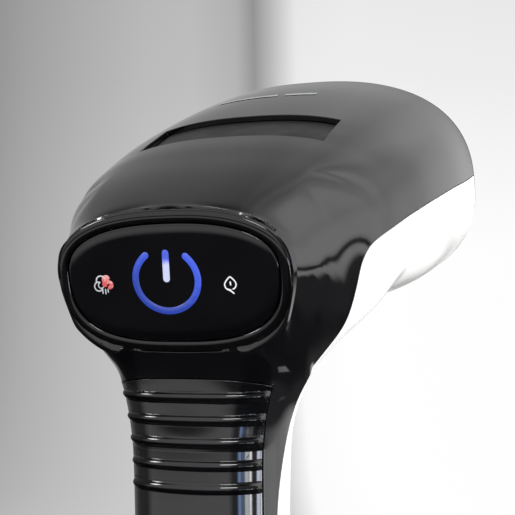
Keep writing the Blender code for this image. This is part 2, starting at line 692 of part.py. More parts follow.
def make_tank():
    outside = [handle_ring(53, off, z) for z, off in TANK_OUTSIDE]
    inside = [handle_ring(53, off - 2.0, max(z, 4.6)) for z, off in reversed(TANK_OUTSIDE[1:])]
    tank = loft("water_tank", outside + inside, SMOKE)
    cap_window = window("cap_window", (-CAP_HALF - GAP, 30, CAP_LOW - GAP), (CAP_HALF + GAP, 80, CAP_HIGH + GAP))
    boolean(tank, cap_window, "DIFFERENCE")

    cap = loft("fill_cap", [handle_ring(53, off, z) for z, off in TANK_OUTSIDE], RUBBER, "open")
    hollow(cap, 2.6)
    boolean(cap, window("cap_block", (-CAP_HALF, 30, CAP_LOW), (CAP_HALF, 80, CAP_HIGH)), "INTERSECT")
    origin_to(cap, (0, 49.2, CAP_LOW))

    lid = loft("tank_lid", [handle_ring(53, -2.7, 50.0), handle_ring(53, -2.7, 52.6)], GREY, "cap", False)
    at = upright(0, PUMP_Y)
    hole = turned("valve_hole", [(6.1, 40), (6.1, 60)], None, at, 20, "cap", cutters)
    boolean(lid, cutter_of(hole), "DIFFERENCE")
    turned("tank_valve", [(4.6, 46.0), (5.8, 47.0), (5.8, 56.2), (4.8, 57.2)], WHITE_GLOSS, at, 18)
    turned("pickup_tube", [(2.2, 13.9), (2.2, 45.7)], CLEAR, at, 12)
    turned("pickup_filter", [(6.0, 5.2), (7.0, 6.2), (7.0, 12.6), (6.0, 13.6)], GREY, at, 16)
    foot = [handle_ring(53, -9.0, 0.0), handle_ring(53, -7.8, 0.6), handle_ring(53, -7.8, 1.5)]
    loft("foot_pad", foot, RUBBER)


make_shells()
make_collar()
make_panel()
make_steam_plate()
make_boiler()
make_release_bar()
make_trigger()
make_handle_parts()
make_boot_parts()
make_tank()
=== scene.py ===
from math import acos, asin, atan2, cos, pi, radians, sin, tau

import bmesh
import bpy
from mathutils import Matrix, Vector


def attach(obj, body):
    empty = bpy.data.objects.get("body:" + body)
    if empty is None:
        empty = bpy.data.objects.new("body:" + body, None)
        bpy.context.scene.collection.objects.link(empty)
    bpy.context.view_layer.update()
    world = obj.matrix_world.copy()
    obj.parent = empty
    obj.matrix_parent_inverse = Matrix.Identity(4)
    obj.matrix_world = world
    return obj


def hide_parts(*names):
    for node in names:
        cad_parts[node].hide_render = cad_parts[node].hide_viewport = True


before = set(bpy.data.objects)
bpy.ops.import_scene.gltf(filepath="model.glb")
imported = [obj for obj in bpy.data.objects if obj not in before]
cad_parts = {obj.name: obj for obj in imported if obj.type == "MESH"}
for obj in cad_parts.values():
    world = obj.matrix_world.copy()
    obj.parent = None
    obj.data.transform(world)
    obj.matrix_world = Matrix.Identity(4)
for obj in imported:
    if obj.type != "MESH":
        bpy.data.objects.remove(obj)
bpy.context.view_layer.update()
MM = 0.001


# ---------- the moulded skins
# The case is three glossy mouldings on one flowing surface: a black rear shell, a white front
# shell and a ribbed grip cover. The surface is a row of flat sections: upright down the head,
# fanned round a line under the chin through the neck, and level down the handle to the boot.

panel_centre = Vector((-54.0, 200.0))
head_tilt = radians(12.5)
head_way = Vector((cos(head_tilt), sin(head_tilt)))
head_up = Vector((-sin(head_tilt), cos(head_tilt)))
head_sizes = (
    (0, 31.0, 15.4, -20.2),
    (20, 41.0, 22.0, -22.0),
    (45, 48.5, 28.0, -25.0),
    (75, 52.5, 33.5, -29.0),
    (105, 54.5, 37.0, -33.5),
    (130, 55.0, 38.5, -35.5),
)
handle_y = -30.0
handle_sizes = (
    (155, 21.0, 16.5, 18.0, 0.0),
    (148, 20.7, 16.5, 17.7, 0.0),
    (140, 20.5, 16.5, 17.1, 0.0),
    (115, 20.3, 16.5, 16.5, 0.0),
    (98, 21.2, 17.2, 23.5, 1.0),
    (84, 24.5, 18.3, 40.0, 6.0),
    (72, 28.8, 19.5, 62.0, 14.0),
    (62, 32.0, 20.2, 76.0, 20.0),
    (53, 33.4, 20.6, 80.0, 24.0),
    (45, 34.0, 20.8, 81.0, 25.0),
)
head_power, handle_power = 2.45, 2.35
neck_powers = ((0, head_power), (30, 2.7), (56, 2.7), (77.5, handle_power))
chin_line = Vector((14.0, 155.0))
chin_s = (chin_line - panel_centre).dot(head_way)
chin_n = (chin_line - panel_centre).dot(head_up)
fan_end = 77.5
fan_widths = (
    (20, 46.0), (34, 38.5), (42, 34.2), (50, 29.2), (57, 24.8), (65, 22.4), (72, 21.4),
)
nape = ((180.3, 4.4), (176, 6.6), (168, 7.2), (155, 7.5))
panel_outline = (31.0, 15.4, 20.2, 2.46, 2.8)
seam_line = (
    (82.0, 233.9), (62.0, 229.4), (38.0, 224.9), (20.0, 221.0), (6.0, 217.7), (-6.0, 214.3),
    (-15.5, 211.1), (-22.5, 208.3), (-26.2, 205.6), (-27.4, 201.5), (-26.6, 197.5),
    (-25.0, 192.0), (-23.2, 186.5), (-22.6, 182.0), (-23.2, 177.0), (-24.6, 171.5),
    (-26.6, 164.5), (-29.6, 157.5), (-32.2, 151.0), (-34.2, 143.5), (-35.2, 134.0),
    (-35.4, 112.0), (-34.6, 92.0), (-32.5, 74.0), (-30.0, 44.0),
)
cover_edge_y = -39.5
cover_low, cover_high = 82.0, 173.4
rim_s = 127.0
boot_low = 53.3
wall = 1.9


def read_table(table, at):
    """Values between the rows of a table, on a monotone cubic."""
    rows = sorted(table)
    at = min(max(at, rows[0][0]), rows[-1][0])
    i = min(max(sum(row[0] < at for row in rows) - 1, 0), len(rows) - 2)
    steps = [b[0] - a[0] for a, b in zip(rows, rows[1:])]
    t = (at - rows[i][0]) / steps[i]
    values = []
    for k in range(1, len(rows[0])):
        slopes = [(b[k] - a[k]) / h for a, b, h in zip(rows, rows[1:], steps)]
        tangents = [slopes[0]]
        for left, right, h0, h1 in zip(slopes, slopes[1:], steps, steps[1:]):
            if left * right > 0:
                tangents.append(3 * (h0 + h1) / ((2 * h1 + h0) / left + (h1 + 2 * h0) / right))
            else:
                tangents.append(0.0)
        tangents.append(slopes[-1])
        value = (1 - eased(t)) * rows[i][k] + eased(t) * rows[i + 1][k]
        value += (t**3 - 2 * t * t + t) * steps[i] * tangents[i]
        values.append(value + (t**3 - t * t) * steps[i] * tangents[i + 1])
    return values


def eased(t):
    """A soft step from 0 to 1."""
    t = min(1.0, max(0.0, t))
    return t * t * (3 - 2 * t)


def arch(t, power):
    """The height of a unit superellipse at t across."""
    return (1 - min(1.0, abs(t)) ** power) ** (1 / power)


def head_at(x, n, s):
    """World point in metres from the head's own axes in millimetres."""
    side = panel_centre + head_way * s + head_up * n
    return Vector((x, side.x, side.y)) * MM


def read_line(table, at):
    """The value between the rows of a two-column table, on straight lines."""
    for (a, low), (b, high) in zip(table, table[1:]):
        if at <= b:
            break
    return low + (high - low) * (at - a) / (b - a)


def reach(inside, low=0.0, high=200.0, rounds=40):
    """The furthest value for which `inside` still holds."""
    for _ in range(rounds):
        middle = (low + high) / 2
        low, high = (middle, high) if inside(middle) else (low, middle)
    return low


fan_outer = []


class Section:
    """One flat section of the case: where it stands, which way is out, and its outline."""

    def __init__(self, kind, at):
        if kind == "head":
            half, top, bottom = read_table(head_sizes, at)
            self.foot, self.way = panel_centre + head_way * at, head_up
            self.inner, self.outer, self.half = bottom, top, half
            self.waist = (top + bottom) / 2 * eased((102.0 - at) / (102.0 - chin_s))
            self.power = head_power
        elif kind == "handle":
            half, rear, front, waist = read_table(handle_sizes, at)
            self.foot, self.way = Vector((handle_y + waist, at)), Vector((-1.0, 0.0))
            self.inner, self.outer, self.half = waist - front, rear + waist, half
            self.waist = (rear - front) / 2 * eased((at - 136.0) / 19.0)
            self.power = handle_power
        else:
            self.fan(at)
            self.waist = (self.inner + self.outer) / 2

    def fan(self, angle):
        turn = radians(angle)
        self.foot, self.way = chin_line, head_up * cos(turn) - head_way * sin(turn)
        head_half, _, head_bottom = read_table(head_sizes, chin_s)
        hand_half, _, hand_front, _ = read_table(handle_sizes, chin_line.y)
        share = eased(angle / fan_end)
        self.inner = (head_bottom - chin_n) * (1 - share)
        self.inner += (chin_line.x - handle_y - hand_front) * share
        self.half = read_table(((0, head_half), *fan_widths, (fan_end, hand_half)), angle)[0]
        self.power = read_line(neck_powers, angle)
        self.outer = read_table(fan_outer, angle)[0] if fan_outer else self.fan_reach(turn)

    def fan_reach(self, turn):
        """How far from the chin line the roof, the panel's edge or the nape lies."""
        to_panel = chin_s / sin(turn) if turn > 0 else 1e9
        above = chin_n + to_panel * cos(turn)
        across, top, bottom, top_power, bottom_power = panel_outline
        if above > top:

            def under_roof(r):
                s, n = chin_s - r * sin(turn), chin_n + r * cos(turn)
                return n < read_table(head_sizes, max(s, 0.0))[1]

            return reach(under_roof)
        if above > -bottom:
            height, power = (top, top_power) if above >= 0 else (bottom, bottom_power)
            drop = arch(across * arch(above / height, power) / self.half, self.power)
            return (2 * to_panel - (1 - drop) * self.inner) / (1 + drop)

        def ahead_of_nape(r):
            point = chin_line + self.way * r
            return point.x > panel_centre.x + read_table(nape, point.y)[0]

        return reach(ahead_of_nape)

    def point(self, t, off=0.0):
        """The point in millimetres at outline angle t: 0 at the side, pi/2 outermost."""
        c, s = cos(t), sin(t)
        span = self.outer - self.waist if s >= 0 else self.waist - self.inner
        x = (self.half + off) * max(c, 0.0) ** (2 / self.power)
        r = self.waist + (span + off) * (1 if s >= 0 else -1) * abs(s) ** (2 / self.power)
        side = self.foot + self.way * r
        return Vector((x, side.x, side.y))

    def angle_at(self, r):
        """The outline angle whose distance out from the foot is r."""
        span = self.outer - self.waist if r >= self.waist else self.waist - self.inner
        sine = min(1.0, abs(r - self.waist) / span) ** (self.power / 2)
        return asin(sine) * (1 if r >= self.waist else -1)

    def angle_at_x(self, x):
        """The outline angle on the outer half where the surface is x from the middle."""
        return pi / 2 - asin(min(1.0, x / self.half) ** (self.power / 2))


fan_stations = (0, 8, 16, 24, 31, 37, 41, 44, 50.2, 52, 54, 56, 58, 61, 65, 71, fan_end)
fan_outer += [(angle, Section("neck", angle).outer) for angle in fan_stations]


def rounded_line(points, steps):
    """A smooth line through side-view points."""
    fine = []
    for i in range(len(points) - 1):
        p0, p1 = Vector(points[max(i - 1, 0)]), Vector(points[i])
        p2, p3 = Vector(points[i + 1]), Vector(points[min(i + 2, len(points) - 1)])
        for k in range(steps):
            t = k / steps
            a = 2 * p1 + (p2 - p0) * t + (2 * p0 - 5 * p1 + 4 * p2 - p3) * t * t
            fine.append((a + (3 * p1 - p0 - 3 * p2 + p3) * t**3) / 2)
    return fine + [Vector(points[-1])]


seam = rounded_line(seam_line, 8)


def seam_reach(section):
    """How far out along a section the seam between the two shells lies."""
    best = None
    across = Vector((-section.way.y, section.way.x))
    for a, b in zip(seam, seam[1:]):
        da, db = (a - section.foot).dot(across), (b - section.foot).dot(across)
        if da * db <= 0 and da != db:
            r = (a + (b - a) * (da / (da - db)) - section.foot).dot(section.way)
            if r > section.inner and (best is None or r > best):
                best = r
    return section.inner if best is None else best


def spread(*stops):
    """Stations from a row of (start, end, step) runs."""
    found = []
    for start, end, step in stops:
        count = max(1, round(abs(end - start) / step))
        found += [start + (end - start) * i / count for i in range(count)]
    return found + [stops[-1][1]]


def stations(kind, *stops):
    """Where sections of one kind stand, as (kind, place) pairs."""
    return [(kind, at) for at in spread(*stops)]


def sections_at(row):
    return [Section(kind, at) for kind, at in row]


def fan_angle_of(level):
    """The neck section whose nape stands at this height."""

    def above(angle):
        section = Section("neck", angle)
        return (section.foot + section.way * section.outer).y > level

    return reach(above, 57.0, fan_end, 30)


def fan_angle_through(n):
    """The neck section that meets the panel plane at this height above its middle."""
    return atan2(chin_s, n - chin_n) * 180 / pi


def grid_mesh(rows, columns, place, keep=None):
    """A welded sheet of rows x columns points; `place` gives each its spot in metres."""
    bm = bmesh.new()
    bmesh.ops.create_grid(bm, x_segments=columns, y_segments=rows - 1, size=1.0)
    spots = {}
    for vert in bm.verts:
        row, column = (vert.co.y + 1) / 2 * (rows - 1), (vert.co.x + 1) / 2 * columns
        spots[vert] = (round(row), round(column))
    if keep:
        holes = []
        for face in bm.faces:
            corner = min(spots[v][0] for v in face.verts), min(spots[v][1] for v in face.verts)
            if not keep(*corner):
                holes.append(face)
        bmesh.ops.delete(bm, geom=holes, context="FACES")
    for vert in bm.verts:
        vert.co = place(*spots[vert])
    bmesh.ops.remove_doubles(bm, verts=bm.verts, dist=2e-6)
    return bm


def new_object(name, data):
    """A new object in the scene."""
    made = bpy.data.objects.new(name, data)
    bpy.context.scene.collection.objects.link(made)
    return made


def mesh_object(name, bm, finish):
    """A smooth object made of a finished mesh and its material."""
    mesh = bpy.data.meshes.new(name)
    bm.normal_update()
    bm.to_mesh(mesh)
    bm.free()
    mesh.materials.append(finish)
    mesh.shade_smooth()
    return new_object(name, mesh)


def add_piece(name, bm, finish, cad_node=None, body="body"):
    """Make a piece with its faces turned out and hang it on its body."""
    bm.normal_update()
    bmesh.ops.recalc_face_normals(bm, faces=bm.faces)
    piece = mesh_object(name, bm, finish)
    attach(piece, body)
    if cad_node:
        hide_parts(cad_node)
    return piece


def add_left_half(bm):
    bmesh.ops.mirror(bm, geom=bm.verts[:] + bm.edges[:] + bm.faces[:], merge_dist=2e-6, axis="X")


def relax(bm, times, within=None):
    """Even out the sheet between its edges."""
    inner = [v for v in bm.verts if not v.is_boundary and (within is None or within(v.co))]
    for _ in range(times):
        bmesh.ops.smooth_vert(
            bm, verts=inner, factor=0.5, use_axis_x=True, use_axis_y=True, use_axis_z=True
        )


def give_wall(piece, thickness, edge=0.2):
    """Thicken a sheet inwards and round the edges that the wall shows."""
    skin = piece.modifiers.new("wall", "SOLIDIFY")
    skin.thickness = thickness * MM
    skin.offset = -1.0
    round_edges(piece, edge)


def round_edges(piece, edge, sharp=50):
    lip = piece.modifiers.new("lip", "BEVEL")
    lip.width = edge * MM
    lip.segments = 3
    lip.limit_method = "ANGLE"
    lip.angle_limit = radians(sharp)
    lip.use_clamp_overlap = False
    lip.harden_normals = True


def set_sockets(made, sockets):
    """Set a node's sockets by name; `_` stands for a space."""
    for key, value in sockets.items():
        made.inputs[key.replace("_", " ")].default_value = value


def node(finish, kind, **sockets):
    """A new shader node with these sockets set."""
    made = finish.node_tree.nodes.new(kind)
    set_sockets(made, sockets)
    return made


def wire(finish, value, into):
    """Give a socket another socket's output or a constant."""
    if isinstance(value, bpy.types.NodeSocket):
        finish.node_tree.links.new(value, into)
    else:
        into.default_value = value


def new_finish(name, colour, roughness, **sockets):
    """A node material with its shader sockets set; returns the material and its shader."""
    finish = bpy.data.materials.new(name)
    finish.use_nodes = True
    shader = finish.node_tree.nodes["Principled BSDF"]
    shader.inputs["Base Color"].default_value = (*colour, 1.0)
    shader.inputs["Roughness"].default_value = roughness
    set_sockets(shader, sockets)
    return finish, shader


def noise(finish, scale, detail=3.0, stretch=(1.0, 1.0, 1.0)):
    """Noise in the object's own coordinates, in waves per metre, as its factor socket."""
    where = node(finish, "ShaderNodeTexCoord")
    turn = node(finish, "ShaderNodeMapping", Scale=stretch)
    cloud = node(finish, "ShaderNodeTexNoise", Scale=scale, Detail=detail)
    wire(finish, where.outputs["Object"], turn.inputs["Vector"])
    wire(finish, turn.outputs["Vector"], cloud.inputs["Vector"])
    return cloud.outputs["Fac"]


def remap(finish, value, low, high, new_low, new_high):
    ends = {"From_Min": low, "From_Max": high, "To_Min": new_low, "To_Max": new_high}
    step = node(finish, "ShaderNodeMapRange", **ends)
    wire(finish, value, step.inputs["Value"])
    return step.outputs["Result"]


def vary(finish, shader, value, low, high):
    """Let the roughness drift between two values."""
    wire(finish, remap(finish, value, 0.3, 0.7, low, high), shader.inputs["Roughness"])


def grade(finish, value, stops):
    """A ramp with these (place, tone or colour) stops, as its colour socket."""
    ramp = node(finish, "ShaderNodeValToRGB")
    ends = ramp.color_ramp.elements
    ends[0].position, ends[1].position = stops[0][0], stops[-1][0]
    for place, _ in stops[1:-1]:
        ends.new(place)
    for end, (_, tone) in zip(sorted(ends, key=lambda e: e.position), stops):
        end.color = (*tone, 1.0) if isinstance(tone, tuple) else (tone, tone, tone, 1.0)
    wire(finish, value, ramp.inputs["Fac"])
    return ramp.outputs["Color"]


def surface(name, tones, roughness, grains, depth=0.0, **sockets):
    """A finish that drifts between two tones and two roughnesses, with a relief in millimetres.

    `grains` are the noise settings behind the roughness, the tone and the relief.
    """
    finish, shader = new_finish(name, tones[0], roughness[0], **sockets)
    vary(finish, shader, noise(finish, *grains[0]), *roughness)
    dark, light = tones
    drift = grade(finish, noise(finish, *grains[1]), ((0.3, dark), (0.7, light)))
    wire(finish, drift, shader.inputs["Base Color"])
    if depth:
        bump = node(finish, "ShaderNodeBump", Strength=1.0, Distance=depth * MM)
        wire(finish, noise(finish, *grains[2]), bump.inputs["Height"])
        wire(finish, bump.outputs["Normal"], shader.inputs["Normal"])
    return finish


# ---------- rear shell
# High-gloss black ABS, injection moulded and polished in the tool. It runs from the steam rim
# over the roof and down the back of the neck, left open for the panel, the bar and the grip
# cover, and is clipped to the front shell along the seam.

gap = 0.15
behind_panel = 1.9
panel_top = fan_angle_through(panel_outline[1] + 0.6)
panel_low = 56.5
for _ in range(30):
    lowest = chin_n + Section("neck", panel_low).outer * cos(radians(panel_low))
    panel_low += (lowest + panel_outline[2] + 0.25) * 0.5
cover_top_angle = fan_angle_of(cover_high)

bar_far, bar_near = 66.5, 46.5


def fan_angle_under(s):
    """The neck section whose top stands this far along the head."""

    def ahead(angle):
        return chin_s - Section("neck", angle).outer * sin(radians(angle)) > s

    return reach(ahead, 0.0, 36.0, 30)


bar_angle = fan_angle_under(bar_near)
rear_row = stations("head", (rim_s, bar_far, 2.6), (bar_far, chin_s, 1.3))
rear_row += stations(
    "neck", (0.0, bar_angle, 1.2), (bar_angle, panel_top - 2, 1.2), (panel_top - 2, panel_top, 0.4)
)[1:]
for step in range(1, 48):
    rise = cos(pi * step / 48)
    n = panel_outline[1] * rise if rise > 0 else panel_outline[2] * rise
    rear_row.append(("neck", fan_angle_through(n)))
to_last_cut = panel_low - rear_row[-1][1]
rear_row += [("neck", panel_low - to_last_cut * share) for share in (0.6, 0.3, 0.12, 0.03)]
rear_row += stations("neck", (panel_low, cover_top_angle, 0.8), (cover_top_angle, fan_end, 0.8))
rear_row += stations("handle", (155, cover_low, 2.0), (cover_low, boot_low, 2.0))[1:]
rear_sections = sections_at(rear_row)


def in_bar_window(kind, at):
    return kind == "head" and at <= bar_far + 1e-6 or kind == "neck" and at < bar_angle - 1e-6


def in_cover_window(kind, at):
    edge = cover_top_angle if kind == "neck" else cover_low
    return kind == "neck" and at >= edge - 1e-6 or kind == "handle" and at > edge + 1e-6


def panel_limit(section):
    """The outline angle at which a section ends behind the panel frame."""
    along, rise = section.way.dot(head_way), section.way.dot(head_up)
    if along >= 0:
        return pi / 2
    here = section.foot - panel_centre
    r = (behind_panel - here.dot(head_way)) / along
    if rise > 0.01:
        r = max(r, (-panel_outline[2] - 0.25 - here.dot(head_up)) / rise)
    return section.angle_at(r) if r < section.outer - 1e-4 else pi / 2


def below_panel(spot):
    """Round the lower corners of the panel opening, where the neck begins."""
    side = Vector((spot.y, spot.z)) / MM - panel_centre
    return side.dot(head_way) < 14 and -36 < side.dot(head_up) < -3


def crossing(section, y, low, high, otherwise):
    """The outline angle where the outline is level with y, kept between two others."""
    if section.way.x > -0.5:
        return low + (high - low) * otherwise
    angle = section.angle_at(min((section.foot.x - y) / -section.way.x, section.outer * 0.999))
    return min(max(angle, low + 0.06), high - 0.06)


def breaks_to_angle(breaks, counts, j):
    for start, end, count in zip(breaks, breaks[1:], counts):
        if j <= count:
            return start + (end - start) * j / count
        j -= count
    return breaks[-1]


def shell_sheet(sections, breaks, counts, keep):
    """A moulding's right half laid over its sections, mirrored and evened out."""

    def place(i, j):
        return sections[i].point(breaks_to_angle(breaks[i], counts, j)) * MM

    bm = grid_mesh(len(sections), sum(counts), place, keep)
    add_left_half(bm)
    relax(bm, 12)
    return bm


rear_counts = (10, 14, 14)
cover_columns, bar_columns = rear_counts[0], sum(rear_counts[:2])
rear_breaks = []
for section in rear_sections:
    first = section.angle_at(seam_reach(section) + gap)
    last = panel_limit(section)
    inner = min(section.angle_at_x(27.5) if section.half > 36 else 1.06, last - 0.02 * last)
    rear_breaks.append((first, crossing(section, cover_edge_y, first, inner, 0.45), inner, last))


def rear_kept(i, j):
    if in_bar_window(*rear_row[i]):
        return j < bar_columns
    return j < cover_columns or not in_cover_window(*rear_row[i])


bm = shell_sheet(rear_sections, rear_breaks, rear_counts, rear_kept)
relax(bm, 90, below_panel)
black_gloss = surface(
    "gloss black ABS", ((0.0015, 0.0015, 0.0022), (0.003, 0.003, 0.0038)), (0.05, 0.11),
    [(60.0,), (25.0,), (350.0, 1.0)], 0.004, Coat_Weight=0.2,
)
rear_shell = add_piece("rear_shell_skin", bm, black_gloss, "rear_shell")
give_wall(rear_shell, wall)


# ---------- front shell
# Gloss white ABS, the lower half of the case: chin, belly of the head and the front of the
# handle, down to the boot. Two openings are moulded in it, for the trigger and the latch.

trigger_low, trigger_high, trigger_opening = 105.5, 152.5, 8.4
latch_low, latch_high, latch_opening = 56.6, 66.3, 7.4
front_row = stations("head", (rim_s, chin_s, 2.4)) + stations("neck", (0.0, fan_end, 1.6))[1:]
front_row += stations(
    "handle", (155, trigger_high, 1.2), (trigger_high, trigger_low, 2.0),
    (trigger_low, latch_high, 2.0), (latch_high, latch_low, 1.1), (latch_low, boot_low, 1.1),
)[1:]
front_sections = sections_at(front_row)
front_counts = (8, 26, 8)
front_breaks = []
for section, (kind, at) in zip(front_sections, front_row):
    opening = trigger_opening if kind != "handle" or at > 90 else latch_opening
    inner = -section.angle_at_x(opening)
    last = section.angle_at(seam_reach(section) - gap)
    front_breaks.append((-pi / 2, inner, last - (last - inner) * 0.12, last))


def front_kept(i, j):
    kind, at = front_row[i]
    in_trigger = trigger_low + 0.1 < at < trigger_high + 0.01
    in_latch = latch_low + 0.1 < at < latch_high + 0.01
    return j >= front_counts[0] or kind != "handle" or not (in_trigger or in_latch)


bm = shell_sheet(front_sections, front_breaks, front_counts, front_kept)
white_gloss = surface(
    "gloss white ABS", ((0.84, 0.84, 0.83), (0.88, 0.88, 0.87)), (0.09, 0.16),
    [(60.0,), (20.0,), (350.0, 1.0)], 0.004, Coat_Weight=0.2,
)
front_shell = add_piece("front_shell_skin", bm, white_gloss, "front_shell")
give_wall(front_shell, wall)


# ---------- grip cover
# The back of the handle: a separate gloss black moulding, screwed on below and slipped under
# the neck above, with five rounded finger ribs that die out just before its long edges.

rib_heights = (168.5, 162.8, 157.2, 151.5, 145.8)
rib_half, rib_proud = 1.25, 0.9
grip_row = stations("neck", (cover_top_angle + 0.15, fan_end, 0.2))
grip_row += stations(
    "handle", (155, 142, 0.25), (142, 94, 1.6), (94, 86, 0.4), (86, cover_low + 0.3, 1.2)
)[1:]
grip_sections = sections_at(grip_row)
grip_starts = [crossing(row, cover_edge_y - 0.3, 0.0, pi / 2, 0.5) for row in grip_sections]
grip_columns = 44


def grip_point(i, j):
    section = grip_sections[i]
    start = grip_starts[i]
    t = start + (pi / 2 - start) * j / grip_columns
    point = section.point(t)
    rise = 0.0
    for z in rib_heights:
        u = abs(point.z - z) / rib_half
        if u < 1:
            rise = rib_proud * cos(pi * u / 2) ** 0.8
    return section.point(t, rise * eased((cover_edge_y - 0.45 - point.y) / 1.3) ** 0.5) * MM


bm = grid_mesh(len(grip_sections), grip_columns, grip_point)
add_left_half(bm)
grip_black = surface(
    "gloss black grip", ((0.0015, 0.0015, 0.0022), (0.003, 0.003, 0.0038)), (0.05, 0.13),
    [(80.0,), (30.0,), (350.0, 1.0)], 0.004, Coat_Weight=0.2,
)
grip = add_piece("grip_cover_ribbed", bm, grip_black, "grip_cover")
give_wall(grip, wall)


# ---------- front collar
# A narrow satin black ring of ABS that closes the rim of the two shells round the hot plate.
# It is pressed in from the front and stands 4 mm proud, with soft outer and inner edges.


def outline_point(sizes, off, turn):
    """A point (across, up) on a superellipse of half width, top, bottom and two powers."""
    half, top, bottom, top_power, bottom_power = sizes
    c, s = cos(turn), sin(turn)
    e = 2 / (top_power if s >= 0 else bottom_power)
    x = (half + off) * abs(c) ** e * (1 if c >= 0 else -1)
    return x, ((top + off) if s >= 0 else -(bottom + off)) * abs(s) ** e


def softened(path, radius, steps=4, closed=True):
    """Round the corners of a (distance, distance) path."""
    found = []
    for i, point in enumerate(path):
        here = Vector(point)
        if not closed and i in (0, len(path) - 1):
            found.append(here)
            continue
        back, on = Vector(path[i - 1]) - here, Vector(path[(i + 1) % len(path)]) - here
        start = here + back.normalized() * min(radius, back.length * 0.45)
        end = here + on.normalized() * min(radius, on.length * 0.45)
        for k in range(steps + 1):
            t = k / steps
            found.append(start * (1 - t) ** 2 + here * 2 * t * (1 - t) + end * t * t)
    return found


def hoop_mesh(path, place, around, closed=True):
    """Sweep a path round an outline: `place` takes a path point and a turn."""
    rows = path + path[:1] if closed else path
    bm = grid_mesh(len(rows), around, lambda i, j: place(rows[i], tau * j / around))
    if not closed:
        bmesh.ops.holes_fill(bm, edges=bm.edges, sides=0)
    return bm


rim_half, rim_top, rim_bottom = read_table(head_sizes, rim_s)
rim_outline = (rim_half, rim_top, -rim_bottom, head_power, head_power)


def along_outline(sizes):
    """Put an (off the outline, along the head) path point at a turn."""

    def place(point, turn):
        x, n = outline_point(sizes, point[0], turn)
        return head_at(x, n, point[1])

    return place


collar_path = (
    (-0.2, 127.2), (-0.3, 129.8), (-1.2, 131.1), (-4.6, 131.1), (-5.3, 130.2), (-5.3, 127.2),
)
satin_black = surface(
    "satin black ABS", ((0.005, 0.005, 0.006), (0.010, 0.010, 0.011)), (0.36, 0.5),
    [(150.0,), (40.0,), (2600.0, 2.0)], 0.012, Specular_IOR_Level=0.08,
)
bm = hoop_mesh(softened(collar_path, 0.45), along_outline(rim_outline), 180)
add_piece("front_collar_ring", bm, satin_black, "front_collar")


# ---------- panel frame and touch lens
# A rounded gloss black frame is glued round the flat rear end of the head, and a smoked acrylic
# lens with a polished edge sits in it a hair lower, so the gap between them takes the light.

lens_outline = (28.1, 12.1, 17.35, 2.4, 2.86)
frame_path = (
    (0.0, 0.0, 1.7), (0.0, 0.0, 0.7), (0.0, -0.03, 0.35), (0.0, -0.12, 0.05), (0.0, -0.28, -0.18),
    (0.0, -0.52, -0.34), (0.0, -0.9, -0.46), (0.5, -0.2, -0.58), (1.0, 0.95, -0.56),
    (1.0, 0.6, -0.48), (1.0, 0.38, -0.34), (1.0, 0.28, -0.12), (1.0, 0.25, 0.2), (1.0, 0.25, 1.7),
)
lens_path = (
    (0.0, 1.6), (0.0, 0.15), (-0.04, -0.02), (-0.14, -0.17), (-0.32, -0.27), (-0.6, -0.32),
    (-3.0, -0.34),
)


def at_frame(point, turn):
    share, off, s = point
    outer = Vector(outline_point(panel_outline, off, turn))
    inner = Vector(outline_point(lens_outline, off, turn))
    spot = outer.lerp(inner, share)
    return head_at(spot.x, spot.y, s)


frame_black = surface(
    "gloss black frame", ((0.0012, 0.0012, 0.0016), (0.0025, 0.0025, 0.003)), (0.05, 0.10),
    [(120.0,), (50.0,), (500.0, 1.0)], 0.003,
)
bm = hoop_mesh(frame_path, at_frame, 200)
add_piece("panel_frame", bm, frame_black, "panel_bezel")

lens_black = surface(
    "smoked acrylic", ((0.0006, 0.0006, 0.0014), (0.0018, 0.0018, 0.0026)), (0.03, 0.08),
    [(90.0, 4.0), (60.0,), (120.0, 1.0)], 0.002,
)
bm = hoop_mesh(lens_path, along_outline(lens_outline), 200, closed=False)
lens = add_piece("touch_lens_polished", bm, lens_black, "touch_lens")
lens.data.set_sharp_from_angle(angle=radians(40))


# ---------- lit symbols
# Windows in the lens's black print, lit from behind by small lamps: a blue power ring and bar,
# a steam cloud at the left, white with a red side, and a drop with a slash at the right.

print_s = -0.40


def thick_mesh(rows, columns, place, thickness):
    """A sheet with this much thickness in millimetres."""
    bm = grid_mesh(rows, columns, place)
    whole = bm.verts[:] + bm.edges[:] + bm.faces[:]
    bmesh.ops.solidify(bm, geom=whole, thickness=thickness * MM)
    return bm


def stroke_mesh(points, half_width):
    """A flat mark with round ends along (across, up) points on the lens."""
    line = [Vector(p) for p in points]
    length = [0.0]
    for a, b in zip(line, line[1:]):
        length.append(length[-1] + (b - a).length)

    def along(d):
        i = max(k for k in range(len(line) - 1) if length[k] <= d + 1e-9)
        way = (line[i + 1] - line[i]).normalized()
        return line[i] + way * (d - length[i]), way

    cap = [half_width * (1 - cos(pi * k / 16)) for k in range(8)]
    middle = [half_width + (length[-1] - 2 * half_width) * i / 60 for i in range(61)]
    stops = cap + middle + [length[-1] - d for d in reversed(cap)]

    def place(i, j):
        spot, way = along(min(stops[i], length[-1] - 1e-6))
        end = min(stops[i], length[-1] - stops[i])
        wide = half_width
        if end < half_width:
            wide = half_width * max(0.0, 1 - (1 - end / half_width) ** 2) ** 0.5
        before, _ = along(max(0.0, stops[i] - half_width * 0.5))
        after, _ = along(min(length[-1] - 1e-6, stops[i] + half_width * 0.5))
        if (after - before).length > 1e-6:
            way = (after - before).normalized()
        side = Vector((-way.y, way.x)) * wide * (j - 1)
        return head_at(spot.x + side.x, spot.y + side.y, print_s)

    return thick_mesh(len(stops), 2, place, 0.03)


